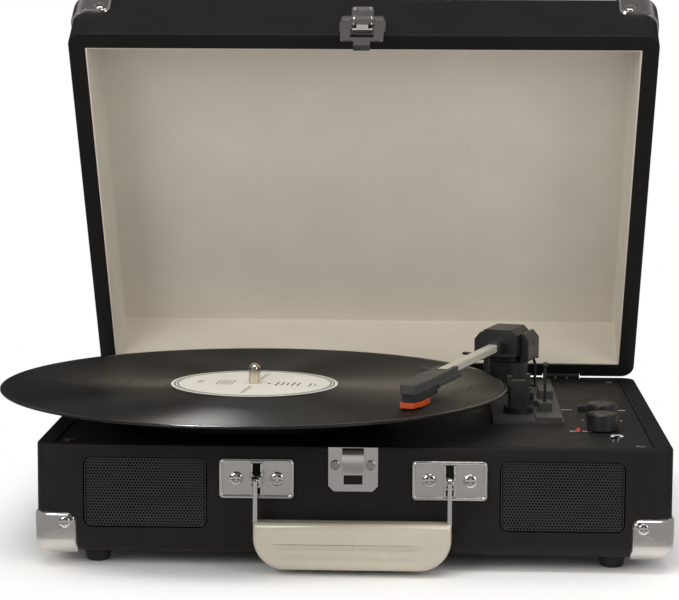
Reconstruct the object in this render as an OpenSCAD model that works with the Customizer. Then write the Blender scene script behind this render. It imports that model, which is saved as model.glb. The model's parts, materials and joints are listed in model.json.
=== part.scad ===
// Portable suitcase record player, lid open, with a 12 inch record on the platter.
// Origin: centre of the case's footprint at floor level. +Z up, -Y the front, +X the control side.
// The lid's pieces are drawn closed and turned about the hinge line to the angle lid_open.

/* [Case] */
// Width of the case
case_w = 356; // [350:1:440]
// Depth of the case, front to back
case_d = 266; // [260:1:330]
// Height of the base tray without its feet
base_h = 62; // [60:1:80]
// Height of the lid
lid_h = 47.5; // [46:0.5:60]
// Thickness of the side walls, and of the lid's walls
side_wall = 10.2; // [9:0.1:12.5]
// Thickness of the base's front and rear walls
end_wall = 8; // [7:0.1:10]
// Thickness of the base's floor
floor_t = 5; // [3:0.5:8]
// Thickness of the lid's top panel
lid_panel_t = 3.4; // [2:0.1:6]
// Radius of the case's outer edges
case_r = 8.5; // [6:0.5:10]
// Height of the rubber feet
foot_h = 8.5; // [6:0.5:12]
// Largest radius of a rubber foot
foot_r = 8.2; // [6:0.1:10]
// Gap between the lid's rim and the base when closed
rim_gap = 0.8; // [0.4:0.1:1.5]
// Angle that the lid stands open
lid_open = 58.4; // [25:0.1:95]

/* [Platter and record] */
// Distance of the spindle from the left side of the case
spindle_from_left = 115.5; // [110:0.5:125]
// Distance of the spindle from the front of the case
spindle_from_front = 98.5; // [98:0.5:120]
// Radius of the spindle where it passes through the record
spindle_r = 3.55; // [3:0.05:3.6]
// Radius of the platter
platter_r = 86; // [85:1:104]
// Height of the platter's top face above the case's edge
platter_rise = 16.6; // [14:0.1:20]
// Thickness of the felt mat
mat_t = 1.5; // [1:0.1:3]
// Radius of the record
record_r = 150.8; // [87:0.1:152]
// Thickness of the record
record_t = 1.9; // [1.3:0.1:2.2]
// Radius of the record's label
label_r = 50; // [44:0.5:52]

/* [Arm] */
// Distance from the arm's pivot to the stylus
arm_len = 207; // [203:0.5:212]
// Pivot's distance to the right of the spindle
pivot_dx = 154; // [152:0.5:158]
// Pivot's distance behind the spindle
pivot_dy = 106.5; // [104:0.5:109]
// Angle of the arm from straight forward, with the stylus in the groove
arm_angle = 17.3; // [10:0.1:30]
// Radius of the arm's pedestal
pedestal_r = 13.8; // [12:0.1:16]
// Width of the arm's tube
tube_w = 6.2; // [5:0.1:7]
// Height of the arm's tube
tube_h = 4.6; // [4:0.1:5]

/* [Controls] */
// Radius of the two knobs
knob_r = 9.2; // [7:0.1:11]
// Height of the two knobs
knob_h = 10.5; // [8:0.5:14]
// Radius of the headphone socket's bore
phones_r = 1.8; // [1.7:0.05:1.9]

/* [Front] */
// Width of a loudspeaker grille
grille_w = 68.6; // [60:0.2:72]
// Height of a loudspeaker grille
grille_h = 38.8; // [34:0.2:42]
// Distance between the handle's two straps
handle_span = 110; // [100:1:130]
// Height of the handle's grip
grip_h = 26.6; // [20:0.2:30]
// Depth of the handle's grip, front to back
grip_t = 14.6; // [12:0.2:16]
// Length of a corner protector along each edge
cap_len = 24; // [20:0.5:30]

/* [Hidden] */
$fn = 48;

clear = 0.3;            // gap between neighbours that move past each other
fit = 0.05;             // running clearance of a shaft in its hole
facets = 24;            // facets round the case's rounded edges

tray_z = foot_h;                        // underside of the base tray
deck_z = foot_h + base_h;               // top edge of the base tray
board_z = deck_z - 1;                   // top face of the motor board
board_t = 3;
board_under = board_z - board_t;
inner_w = case_w - 2 * side_wall;
inner_d = case_d - 2 * end_wall;
board_gap = 0.4;
board_w = inner_w - 2 * board_gap;
board_d = inner_d - 2 * board_gap;
floor_z = tray_z + floor_t;
front_y = -case_d / 2;
rear_y = case_d / 2;
left_x = -case_w / 2;
right_x = case_w / 2;

spindle_x = left_x + spindle_from_left;
spindle_y = front_y + spindle_from_front;
platter_top = deck_z + platter_rise;
record_z = platter_top + mat_t;
groove_z = record_z + record_t;
label_t = 0.2;
spindle_top = groove_z + 12;
platter_skin = 2.5;
platter_skirt = 12.6;
ring_r = 62;            // drive ring under the platter
pulley_r = 5;
pulley_dist = platter_r - 5.9 - pulley_r; // the pulley runs just inside the platter's skirt
pulley_angle = 20;                      // from straight left, towards the back
pulley_x = spindle_x - pulley_dist * cos(pulley_angle);
pulley_y = spindle_y + pulley_dist * sin(pulley_angle);
belt_t = 0.8;
belt_h = 5;
belt_z = platter_top - 9.6;
bush_r = 6;
shaft_r = 3;            // the spindle's lower part, in its bush
neck_r = spindle_r - 0.3;               // the spindle below the record's face
bore_r = neck_r + 0.05;                 // the bore of the platter
hole_r = spindle_r + 0.07;              // the hole of the record and of the mat

arm_x = spindle_x + pivot_dx;
arm_y = spindle_y + pivot_dy;
plate_t = 2;
plate_z = board_z + plate_t;            // top of the arm's plate
pedestal_top = deck_z + 20.5;
tip_z = groove_z;                       // the stylus stands in the groove
tube_z = tip_z + 12;                    // middle of the arm's tube, and height of its lift pivot
turret_floor = pedestal_top + clear + 2;
cheek_in = 12.6;
cheek_out = 17.8;
head_half = 12.2;
shell_back = arm_len - 79;
shell_front = arm_len + 2;
rest_dist = 88.6;                       // arm rest's distance from the arm's pivot
parked = 20.2;                          // swing from the groove to the rest
rest_x = arm_x + rest_dist * sin(parked - arm_angle);
rest_y = arm_y - rest_dist * cos(parked - arm_angle);
bar_dist = 40;                          // lift bar's distance from the arm's pivot
lead_dist = 24;
lead_angle = 38;
selector_x = arm_x + 12.5;
selector_y = arm_y - 59;
selector_travel = 12;
cue_x = arm_x + 21;
cue_y = rest_y + 13.5;
cue_z = plate_z + 3;

screw_in = side_wall + 6.8;              // board screws from the case's sides
screw_end = end_wall + 7.5;              // board screws from the case's front
block = 13;
volume_x = right_x - 35;
volume_y = front_y + 66.5;
pitch_x = right_x - 33;
pitch_y = front_y + 102;
lamp_x = right_x - 49;
lamp_y = front_y + 67.5;
phones_x = right_x - 30;
phones_y = front_y + 36;
slide_x = right_x - 42;
slide_y = front_y + 137;
slide_travel = 8;
pot_shaft_r = 3;

grille_x = right_x - 61.5;
grille_z = deck_z - 27.2;
grille_r = 4.5;
grille_t = 1;
grille_sink = 0.8;
speaker_w = 66;
speaker_h = 42;
cone_r = 18;

bracket_w = 41.5;
bracket_h = 22;
bracket_t = 1.3;
bracket_z = deck_z - 18.2;
bracket_screw = 11.4;
bail_y = front_y - 10;                  // the handle's pivot line
bail_z = deck_z - 18;
strap_t = 2.4;
strap_w = 6.4;
grip_top = deck_z - 40.3;
grip_low = grip_top - grip_h;
grip_half = handle_span / 2;
grip_corner = grip_h * 0.68;
strap_x = grip_half - strap_t / 2;
strap_sunk = 4.6;       // how deep a strap sits in the grip
pin_r = 1.4;

latch_w = 27.7;
catch_h = 25;
catch_t = 1.2;
slot_w = 10.4;
slot_h = 5;
slot_top = -15.9;       // below the base's edge
rivet_x = 9.9;
rivet_drop = 10;
lever_w = 13.3;
hasp_w = 25.8;
hasp_out = 3.3;         // hasp's inner face, from the case's front
hasp_t = 1.1;
hasp_len = 18.4;        // how far the hasp reaches past the lid's rim
hasp_pin_y = 2.9;
hasp_pin_z = 13.7;
lever_pin_y = 2.8;
lever_pin_z = 1.4;
lever_face = 6.2;       // lever's outer face, from the case's front
cap_t = 1.4;
rim_z = deck_z + rim_gap;
hinge_x = 130;
hinge_y = rear_y - 0.5;
hinge_z = deck_z + 1.2;
hinge_r = 2.2;
pivot_r = 1;            // radius of the hinges' pins
leaf_w = 24;
lining_t = 0.8;
pcb_z = board_under - 15;
jack_x = right_x - 62;
jack_z = tray_z + 30;

// ---- helpers ----

module rrect(w, d, r) {
    translate([-w / 2 + r, -d / 2]) square([w - 2 * r, d]);
    translate([-w / 2, -d / 2 + r]) square([w, d - 2 * r]);
    for (x = [-1, 1], y = [-1, 1]) translate([x * (w / 2 - r), y * (d / 2 - r)]) circle(r);
}

// A rounded upright plate in the XZ plane, centred, from y = 0 towards -Y.
module front_plate(w, h, r, t) {
    rotate([90, 0, 0]) linear_extrude(t) rrect(w, h, r);
}

module chamfered(w, h, c) {
    polygon([[-w / 2, 0], [w / 2, 0], [w / 2, h - c], [w / 2 - c, h], [-w / 2 + c, h], [-w / 2, h - c]]);
}

// Box with rounded upright edges, and a rounded edge all round one end.
module case_solid(h, grow) {
    r = case_r + grow;
    hull() {
        for (x = [-1, 1], y = [-1, 1])
            translate([x * (case_w / 2 - case_r), y * (case_d / 2 - case_r), 0]) {
                translate([0, 0, case_r]) sphere(r, $fn = facets);
                translate([0, 0, case_r]) cylinder(h - case_r, r, r, $fn = facets);
            }
        translate([-case_w / 2 + case_r, -case_d / 2 + case_r, -grow])
            cube([case_w - 2 * case_r, case_d - 2 * case_r, 1]);
    }
}

// Four stamped corner protectors: a skin over the case, trimmed to a block at each corner.
module corner_caps(h) {
    difference() {
        intersection() {
            case_solid(h, cap_t);
            for (x = [-1, 1], y = [-1, 1])
                translate([x * (case_w / 2 - cap_len / 2 + cap_t), y * (case_d / 2 - cap_len / 2 + cap_t),
                           cap_len / 2 - cap_t])
                    cap_block();
        }
        case_solid(h, 0.05);
        cap_screw_places() translate([0, 0, 4]) cylinder(20, 1.6, 1.6, center = true);
    }
}

// Screws of the corner protectors: -Z points into the case.
module cap_screw_places() {
    for (x = [-1, 1], y = [-1, 1])
        translate([x * (case_w / 2 - cap_len + 7.6), y * (case_d / 2 + cap_t), cap_len - 6.4])
            rotate([y < 0 ? 90 : -90, 0, 0]) children();
}

// Screws of the handle's brackets: -Z points into the case.
module bracket_screw_places() {
    for (x = [-1, 1], k = [-1, 1])
        translate([x * strap_x + k * bracket_screw, front_y - bracket_t, bracket_z]) rotate([90, 0, 0]) children();
}

// Block that trims a corner protector, with its free corners rounded on every face.
module cap_block() {
    s = cap_len + 2 * cap_t;
    intersection() {
        rotate([90, 0, 0]) linear_extrude(s, center = true) rrect(s, s, 6);
        rotate([90, 0, 90]) linear_extrude(s, center = true) rrect(s, s, 6);
    }
}

// Pan head screw along -Z, its head above z = 0.
module screw(head_r, head_h, shank_r, shank_l) {
    difference() {
        rotate_extrude() polygon([[0, -shank_l], [shank_r, -shank_l], [shank_r, 0], [head_r, 0],
            [head_r, head_h * 0.45], [head_r * 0.8, head_h * 0.85], [head_r * 0.45, head_h], [0, head_h]]);
        for (a = [0, 90]) rotate(a) translate([-head_r * 0.55, -head_r * 0.12, head_h * 0.4])
            cube([head_r * 1.1, head_r * 0.24, head_h]);
    }
}

module lid_pose() {
    translate([0, hinge_y, hinge_z]) rotate([-lid_open, 0, 0]) translate([0, -hinge_y, -hinge_z]) children();
}

module arm_pose() {
    translate([arm_x, arm_y, 0]) rotate([0, 0, -arm_angle]) children();
}

module both_sides() {
    children();
    mirror([1, 0, 0]) children();
}

// ---- case ----

module base_tray() color([0.16, 0.15, 0.14]) difference() {
    translate([0, 0, tray_z]) case_solid(base_h, 0);
    translate([-inner_w / 2, -inner_d / 2, floor_z]) cube([inner_w, inner_d, base_h]);
    both_sides() translate([grille_x, front_y, grille_z]) {
        translate([0, grille_sink + grille_t, 0]) front_plate(grille_w + 0.8, grille_h + 0.8, grille_r, 10);
        translate([0, end_wall + 1, 0]) front_plate(speaker_w - 6, speaker_h - 10, grille_r, 12);
    }
    translate([jack_x, rear_y + 1, jack_z]) front_plate(72, 22, 2, end_wall + 2);
    translate([jack_x, rear_y + 1, jack_z]) front_plate(84.6, 32.6, 2, 3);
    translate([-slot_w / 2, front_y - 1, deck_z + slot_top - slot_h]) cube([slot_w, 4, slot_h]);
    for (x = [-1, 1]) translate([x * hinge_x - leaf_w / 2 - clear, rear_y - 1, deck_z - 13])
        cube([leaf_w + 2 * clear, 2, 14]);
    hinge_notch();
    translate([0, 0, tray_z]) cap_screw_places() pilot(cap_t);
    bracket_screw_places() pilot(bracket_t);
    for (x = [-1, 1]) translate([x * rivet_x, front_y, deck_z - rivet_drop]) rotate([90, 0, 0]) pilot(0);
}

// Room for a hinge's knuckle in the top of the rear wall, and in the lid's rim.
module hinge_notch() for (x = [-1, 1]) translate([x * hinge_x - leaf_w / 2 - clear, 0, 0]) {
    translate([0, hinge_y, hinge_z]) rotate([0, 90, 0]) cylinder(leaf_w + 2 * clear, hinge_r + clear, hinge_r + clear);
    translate([0, hinge_y, hinge_z - hinge_r - clear]) cube([leaf_w + 2 * clear, 5, 2 * (hinge_r + clear)]);
}

module pilot(depth) translate([0, 0, -depth - 5.4]) cylinder(6, 1.45, 1.45);

module corner_blocks() color([0.7, 0.55, 0.38]) {
    for (x = [-1, 1], y = [-1, 1])
        translate([x * (case_w / 2 - screw_in), y * (case_d / 2 - screw_end), floor_z]) difference() {
            translate([-block / 2, -block / 2, 0]) cube([block, block, board_under - floor_z]);
            translate([0, 0, board_under - floor_z - 15]) cylinder(16, 1.5, 1.5);
        }
}

module motor_board() color([0.12, 0.11, 0.11]) difference() {
    translate([0, 0, board_under]) linear_extrude(board_t) rrect(board_w, board_d, 2);
    bar_post() translate([0, 0, -10]) cylinder(12, 2.6, 2.6);
    translate([0, 0, board_under]) board_holes();
}

module board_holes() {
    for (x = [-1, 1], y = [-1, 1])
        translate([x * (case_w / 2 - screw_in), y * (case_d / 2 - screw_end), -1]) cylinder(board_t + 2, 1.8, 1.8);
    translate([spindle_x, spindle_y, -1]) cylinder(board_t + 2, bush_r + fit, bush_r + fit);
    translate([pulley_x, pulley_y, -1]) cylinder(board_t + 2, 8.5, 8.5);
    translate([arm_x, arm_y, -1]) rotate(lead_angle) translate([lead_dist - 3, -11.5, 0]) cube([6, 23, board_t + 2]);
    translate([volume_x, volume_y, -1]) cylinder(board_t + 2, 4, 4);
    translate([pitch_x, pitch_y, -1]) cylinder(board_t + 2, 4, 4);
    translate([lamp_x, lamp_y, -1]) cylinder(board_t + 2, 1.6, 1.6);
    translate([phones_x, phones_y, -1]) cylinder(board_t + 2, 3.1, 3.1);
    translate([slide_x - 2.5, slide_y - 1.5, -1]) cube([slide_travel + 5, 3, board_t + 2]);
}

module board_screws() color([0.2, 0.2, 0.2]) {
    for (x = [-1, 1], y = [-1, 1])
        translate([x * (case_w / 2 - screw_in), y * (case_d / 2 - screw_end), board_z]) screw(3.1, 0.9, 1.4, 14);
}

module grille() {
    translate([0, front_y + grille_sink + grille_t, grille_z]) front_plate(grille_w, grille_h, grille_r, grille_t);
}

module grille_left() color([0.22, 0.21, 0.2]) translate([-grille_x, 0, 0]) grille();
module grille_right() color([0.22, 0.21, 0.2]) translate([grille_x, 0, 0]) grille();

module speaker_basket() {
    translate([0, front_y + end_wall, grille_z]) rotate([-90, 0, 0]) {
        linear_extrude(1.6) difference() {
            rrect(speaker_w, speaker_h, 4);
            circle(cone_r + 1);
        }
        rotate_extrude() polygon([[cone_r + 1, 1.6], [cone_r + 2.4, 1.6], [13.2, 13], [13.2, 14],
            [6, 14], [6, 12.8], [11.8, 12.8]]);
    }
}

module speaker_baskets() color("dimgray") both_sides() translate([grille_x, 0, 0]) {
    speaker_basket();
    translate([0, front_y + end_wall + 14, grille_z]) rotate([-90, 0, 0]) cylinder(8, 14.5, 14.5);
}

module speaker_cone() {
    translate([0, front_y + end_wall, grille_z]) rotate([-90, 0, 0])
        rotate_extrude() polygon([[cone_r + 0.9, 0.3], [cone_r + 0.9, 1.4], [cone_r - 1.4, 1.6], [6.4, 10],
            [0, 7.6], [0, 6.8], [6.4, 8.8], [cone_r - 1.8, 0.6]]);
}

module speaker_cones() color([0.1, 0.1, 0.1]) both_sides() translate([grille_x, 0, 0]) speaker_cone();

module base_corner_caps() color([0.75, 0.74, 0.72]) translate([0, 0, tray_z]) corner_caps(base_h);

module case_screws() color([0.7, 0.69, 0.67]) {
    translate([0, 0, tray_z]) cap_screw_places() screw(3.1, 1.1, 1.4, 6);
    bracket_screw_places() screw(3.9, 1.9, 1.4, 6);
}

module rubber_feet() color([0.08, 0.08, 0.08]) {
    for (x = [-1, 1], y = [-1, 1])
        translate([x * (case_w / 2 - cap_len - foot_r + 0.2), y * (case_d / 2 - 22), 0]) difference() {
            rotate_extrude() polygon([[0, 0], [foot_r - 2.6, 0], [foot_r - 1.6, 1], [foot_r, foot_h], [0, foot_h]]);
            translate([0, 0, -1]) cylinder(4, 2.6, 2.6);
        }
}

module hinge_base_leaves() color([0.1, 0.1, 0.1]) for (x = [-1, 1]) translate([x * hinge_x, 0, 0]) difference() {
    union() {
        translate([-leaf_w / 2, rear_y - 0.9, deck_z - 12.6]) cube([leaf_w, 1, 11.2]);
        for (k = [-1, 1]) translate([k * (leaf_w / 2 - 4) - 4, hinge_y, hinge_z]) rotate([0, 90, 0])
            cylinder(8, hinge_r, hinge_r);
        for (k = [-1, 1]) translate([k * (leaf_w / 2 - 4) - 4, rear_y - 0.9, deck_z - 2])
            cube([8, 1, 2]);
    }
    translate([-leaf_w, hinge_y, hinge_z]) rotate([0, 90, 0]) cylinder(2 * leaf_w, pivot_r, pivot_r);
}

module hinge_pins() color("silver") for (x = [-1, 1])
    translate([x * hinge_x - leaf_w / 2, hinge_y, hinge_z]) rotate([0, 90, 0]) cylinder(leaf_w, pivot_r, pivot_r);

// ---- front hardware on the base ----

module catch_plate() color([0.75, 0.74, 0.72]) translate([0, front_y, deck_z]) difference() {
    rotate([90, 0, 0]) linear_extrude(catch_t) polygon([[-latch_w / 2, 0], [latch_w / 2, 0],
        [latch_w / 2, 3 - catch_h], [latch_w / 2 - 3, -catch_h], [3 - latch_w / 2, -catch_h],
        [-latch_w / 2, 3 - catch_h]]);
    translate([-slot_w / 2, -catch_t - 1, slot_top - slot_h]) cube([slot_w, catch_t + 2, slot_h]);
    for (x = [-1, 1]) translate([x * rivet_x, 1, -rivet_drop]) rotate([90, 0, 0]) cylinder(4, 1.25, 1.25);
}

module catch_spring() color([0.78, 0.77, 0.75]) translate([6.1, front_y - catch_t, deck_z]) rotate([90, 0, -90])
    linear_extrude(12.2) polygon([[0, -0.4], [1.1, -1.6], [1.6, -4], [1.7, -8], [1.5, -12], [0.9, -15], [0.4, -15.6],
        [0, -15.6], [0, -15], [0.7, -12], [0.9, -8], [0.8, -4], [0, -2.2]]);

module catch_rivets() color([0.5, 0.49, 0.47]) for (x = [-1, 1])
    translate([x * rivet_x, front_y - catch_t, deck_z - rivet_drop]) rotate([90, 0, 0]) rotate_extrude()
        polygon([[0, -5], [1.2, -5], [1.2, 0], [2.85, 0], [2.85, 0.4], [2.1, 0.9], [0, 0.9]]);

module handle_brackets() color([0.75, 0.74, 0.72]) for (side = [-1, 1])
    translate([side * strap_x, front_y, bracket_z]) difference() {
        union() {
            front_plate(bracket_w, bracket_h, 2.2, bracket_t);
            difference() {
                front_plate(bracket_w, bracket_h, 2.2, bracket_t + 0.9);
                translate([0, 1, 0]) front_plate(bracket_w - 3.2, bracket_h - 3.2, 1.4, bracket_t + 3);
            }
            for (k = [-1, 1]) translate([k * 2.65 - 0.75, bail_y - front_y - 2.6, -2.8])
                cube([1.5, front_y - bail_y + 2.6 - 0.5, 5.6]);
        }
        for (k = [-1, 1]) translate([k * bracket_screw, 1, 0]) rotate([90, 0, 0]) cylinder(4, 1.6, 1.6);
        translate([-10, bail_y - front_y, bail_z - bracket_z]) rotate([0, 90, 0])
            cylinder(20, pin_r + fit, pin_r + fit);
    }

// Solid grip: straight top, big round lower corners, notched where the straps enter.
module handle_grip() color([0.86, 0.83, 0.76]) translate([0, bail_y + grip_t / 2, grip_low])
    rotate([90, 0, 0]) linear_extrude(grip_t) difference() {
        intersection() {
            translate([-grip_half, 0]) square([2 * grip_half, grip_h]);
            union() {
                translate([-grip_half + grip_corner, 0]) square([2 * grip_half - 2 * grip_corner, grip_h]);
                translate([-grip_half, grip_corner]) square([2 * grip_half, grip_h]);
                for (x = [-1, 1]) translate([x * (grip_half - grip_corner), grip_corner]) circle(grip_corner);
            }
        }
        for (x = [-1, 1]) translate([x * strap_x - strap_t / 2 - 0.01, grip_h - strap_sunk])
            square([strap_t + 0.02, strap_sunk + 1]);
    }

module handle_straps() color([0.75, 0.74, 0.72]) for (x = [-1, 1]) {
    translate([x * strap_x - strap_t / 2, bail_y - strap_w / 2, grip_top - strap_sunk])
        cube([strap_t, strap_w, bail_z - grip_top + strap_sunk]);
    translate([x * strap_x - strap_t / 2, bail_y, bail_z]) rotate([0, 90, 0])
        cylinder(strap_t, strap_w / 2, strap_w / 2);
    translate([x * strap_x - 3.6, bail_y, bail_z]) rotate([0, 90, 0]) cylinder(7.2, pin_r, pin_r);
}

// ---- rear and inside ----

module jack_panel() color([0.15, 0.15, 0.15]) translate([jack_x, rear_y, jack_z]) difference() {
    front_plate(84, 32, 1.6, 2);
    for (x = [-1, 1]) translate([x * 9 + 16, 1, 0]) rotate([90, 0, 0]) cylinder(4, 4.2, 4.2);
    translate([-9, 1, 0]) rotate([90, 0, 0]) cylinder(4, 3.1, 3.1);
    translate([-28, 1, 0]) rotate([90, 0, 0]) cylinder(4, 4.6, 4.6);
}

module rca_jacks() color("silver") for (x = [-1, 1])
    translate([jack_x + x * 9 + 16, rear_y - 6, jack_z]) rotate([-90, 0, 0]) difference() {
        union() {
            cylinder(6.2, 3.8, 3.8);
            translate([0, 0, 6.1]) cylinder(7.9, 4.15, 4.15);
            cylinder(4, 6, 6);
        }
        translate([0, 0, 4]) cylinder(12, 1.7, 1.7);
    }

module aux_jack() color([0.1, 0.1, 0.1]) translate([jack_x - 9, rear_y + 0.6, jack_z]) rotate([90, 0, 0])
    difference() {
        union() {
            cylinder(14, 3, 3);
            translate([-4.5, -4.5, 3]) cube([9, 9, 12]);
        }
        translate([0, 0, -1]) cylinder(14, phones_r, phones_r);
    }

module dc_jack() color([0.1, 0.1, 0.1]) translate([jack_x - 28, rear_y + 0.4, jack_z]) rotate([90, 0, 0]) {
    difference() {
        union() {
            cylinder(13, 4.5, 4.5);
            translate([-5.5, -5.5, 3]) cube([11, 11, 10]);
        }
        translate([0, 0, -1]) cylinder(12, 2.8, 2.8);
    }
    translate([0, 0, 0.8]) cylinder(11, 1, 1);
}

module main_pcb() color([0.1, 0.35, 0.2]) translate([volume_x - 1, (volume_y + pitch_y) / 2 - 6, pcb_z]) {
    difference() {
        translate([-20, -46, 0]) cube([38, 92, 1.6]);
        for (x = [-16.5, 14.5], y = [-42.5, 42.5]) translate([x, y, -1]) cylinder(4, 1.6, 1.6);
    }
    translate([-16, 25, 1.6]) cube([12, 12, 2.4]);
    translate([-15, -38, 1.6]) cylinder(9, 4, 4);
    translate([9, 39, 1.6]) cylinder(8, 3.2, 3.2);
}

module control_pots() color([0.6, 0.6, 0.58]) for (p = [[volume_x, volume_y], [pitch_x, pitch_y]])
    translate([p[0], p[1], pcb_z + 1.6]) difference() {
        union() {
            translate([-6, -6.5, 0]) cube([12, 13, 7]);
            cylinder(board_under - pcb_z - 1.6, 3.6, 3.6);
        }
        translate([0, 0, 3]) cylinder(20, pot_shaft_r + fit, pot_shaft_r + fit);
    }

module headphone_jack() color([0.8, 0.8, 0.8]) translate([phones_x, phones_y, board_z]) difference() {
    union() {
        cylinder(1.1, 3.8, 3.8);
        translate([0, 0, -board_t - 0.1]) cylinder(board_t + 0.2, 3, 3);
        translate([-4.5, -4.5, -14]) cube([9, 9, 14 - board_t]);
    }
    translate([0, 0, -12.5]) cylinder(15, phones_r, phones_r);
}

module power_lamp() color("red") translate([lamp_x, lamp_y, board_z - 8]) {
    cylinder(8, 1.5, 1.5);
    translate([0, 0, 8]) intersection() {
        sphere(1.5);
        cylinder(1.5, 1.5, 1.5);
    }
    cylinder(1, 1.9, 1.9);
}

module autostop_slider() color([0.15, 0.15, 0.15]) translate([slide_x, slide_y, board_z]) {
    translate([-2, -1.2, -board_t - 3]) cube([4, 2.4, board_t + 6.2]);
    translate([-3, -2.4, 0.4]) cube([6, 4.8, 2.6]);
}

module knob(pointer) {
    rotate_extrude() polygon([[0, 1], [knob_r, 1], [knob_r, 1.4], [knob_r - 0.2, knob_h - 0.8],
        [knob_r - 0.9, knob_h], [0, knob_h]]);
    rotate(pointer) translate([knob_r - 3.4, -0.6, knob_h - 1.4]) cube([4, 1.2, 2]);
    translate([0, 0, -board_t - 5]) cylinder(board_t + 8, pot_shaft_r, pot_shaft_r);
}

module volume_knob() color([0.13, 0.13, 0.13]) translate([volume_x, volume_y, board_z]) knob(200);
module pitch_knob() color([0.13, 0.13, 0.13]) translate([pitch_x, pitch_y, board_z]) knob(90);

// ---- drive ----

module drive_motor() color("silver") translate([pulley_x, pulley_y, 0]) {
    difference() {
        union() {
            translate([0, 0, board_under - 28]) cylinder(24, 17.5, 17.5);
            translate([0, 0, board_under - 4]) linear_extrude(1.2) rrect(52, 20, 6);
            translate([0, 0, board_under - 4]) cylinder(3, 4, 4);
            for (x = [-1, 1]) translate([x * 21, 0, board_under - 2.8]) cylinder(2.8, 3.4, 3.4);
        }
        translate([0, 0, board_under - 24]) cylinder(30, 1 + fit, 1 + fit);
    }
}

module motor_pulley() color([0.85, 0.75, 0.45]) translate([pulley_x, pulley_y, 0]) {
    translate([0, 0, board_under - 23]) cylinder(belt_z + belt_h - board_under + 23, 1, 1);
    translate([0, 0, belt_z - 1]) cylinder(belt_h + 2, pulley_r, pulley_r);
    translate([0, 0, belt_z - 1.6]) cylinder(0.6, pulley_r + 1.2, pulley_r + 1.2);
    translate([0, 0, belt_z + belt_h + 1]) cylinder(0.6, pulley_r + 1.2, pulley_r + 1.2);
}

// A flat loop round the platter's drive ring and the motor's pulley.
module drive_belt() color([0.05, 0.05, 0.05]) translate([0, 0, belt_z]) difference() {
    linear_extrude(belt_h) belt_outline(belt_t);
    translate([0, 0, -1]) linear_extrude(belt_h + 2) belt_outline(0);
}

module belt_outline(grow) hull() {
    translate([spindle_x, spindle_y]) circle(ring_r + clear + grow, $fn = 96);
    translate([pulley_x, pulley_y]) circle(pulley_r + clear + grow, $fn = 32);
}

module bearing_bush() color([0.8, 0.65, 0.35]) translate([spindle_x, spindle_y, 0]) difference() {
    union() {
        translate([0, 0, board_under - 8]) cylinder(board_t + 10, bush_r, bush_r);
        translate([0, 0, board_under - 1.5]) cylinder(1.5, bush_r + 3, bush_r + 3);
    }
    translate([0, 0, board_under - 7]) cylinder(30, shaft_r + fit, shaft_r + fit);
}

module platter() color([0.14, 0.14, 0.14]) translate([spindle_x, spindle_y, platter_top]) rotate_extrude()
    polygon([[bore_r, 0], [bore_r, -9], [9, -9], [9, -platter_skin], [ring_r - 4, -platter_skin],
        [ring_r - 4, -11], [ring_r, -11], [ring_r, -platter_skin], [platter_r - 3.5, -platter_skin],
        [platter_r - 3.5, -platter_skirt], [platter_r, -platter_skirt], [platter_r, -1], [platter_r - 1, 0]]);

module slip_mat() color([0.1, 0.1, 0.1]) translate([spindle_x, spindle_y, platter_top]) difference() {
    cylinder(mat_t, platter_r - 1.5, platter_r - 1.5);
    translate([0, 0, -1]) cylinder(mat_t + 2, hole_r, hole_r);
}

module record() color([0.07, 0.07, 0.07]) translate([spindle_x, spindle_y, record_z]) rotate_extrude()
    polygon([[hole_r, 0], [record_r - 0.8, 0], [record_r, 0.6], [record_r, record_t - 0.6],
        [record_r - 0.8, record_t], [label_r + 1, record_t], [label_r, record_t - label_t],
        [hole_r, record_t - label_t]]);

module record_label() color([0.88, 0.87, 0.82]) translate([spindle_x, spindle_y, groove_z - label_t]) difference() {
    cylinder(label_t, label_r - 0.1, label_r - 0.1);
    translate([0, 0, -1]) cylinder(3, hole_r, hole_r);
}

module spindle() color("silver") translate([spindle_x, spindle_y, 0]) rotate_extrude()
    polygon(concat([[0, board_under - 6.9], [shaft_r, board_under - 6.9], [shaft_r, platter_top - 9],
        [neck_r, platter_top - 9], [neck_r, groove_z + 0.1], [spindle_r, groove_z + 0.1],
        [spindle_r, spindle_top - 3]],
        [for (a = [15 : 15 : 90]) [spindle_r * cos(a), spindle_top - 3 + 3 * sin(a)]]));

// ---- arm ----

module arm_plate() color([0.16, 0.16, 0.16]) difference() {
    union() {
        translate([arm_x - 11.5, rest_y - 31.5, board_z]) cube([42, 165, plate_t]);
        translate([arm_x - 16, arm_y - 20, board_z]) cube([20, 52, plate_t]);
        translate([arm_x + 14, rest_y - 30, plate_z]) cube([15, 17, 2]);
        translate([cue_x - 4, cue_y - 7.5, plate_z]) cube([8, 15, 4.6]);
        translate([selector_x - 4.5, selector_y - 5, plate_z]) cube([9, selector_travel + 11, 3]);
        translate([arm_x + 19, arm_y - 38, plate_z]) cube([9, 24, 5]);
        bar_post() cylinder(7, 4, 4);
    }
    bar_post() translate([0, 0, -4]) cylinder(20, 2 + fit, 2 + fit);
    translate([cue_x - 1.2, cue_y - 6.5, plate_z + 0.4]) cube([2.4, 13, 6]);
    translate([cue_x - 5, cue_y, cue_z]) rotate([0, 90, 0]) cylinder(10, 0.8 + fit, 0.8 + fit);
    translate([selector_x - 1.4, selector_y - 2.6, board_z - 1]) cube([2.8, selector_travel + 5.2, 10]);
    translate([arm_x, arm_y, board_z - 1]) rotate(lead_angle) translate([lead_dist - 2.6, -11, 0])
        cube([5.2, 22, 10]);
}

module bar_post() translate([arm_x + bar_dist * sin(-20), arm_y - bar_dist * cos(-20), plate_z - 0.01]) children();

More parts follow.
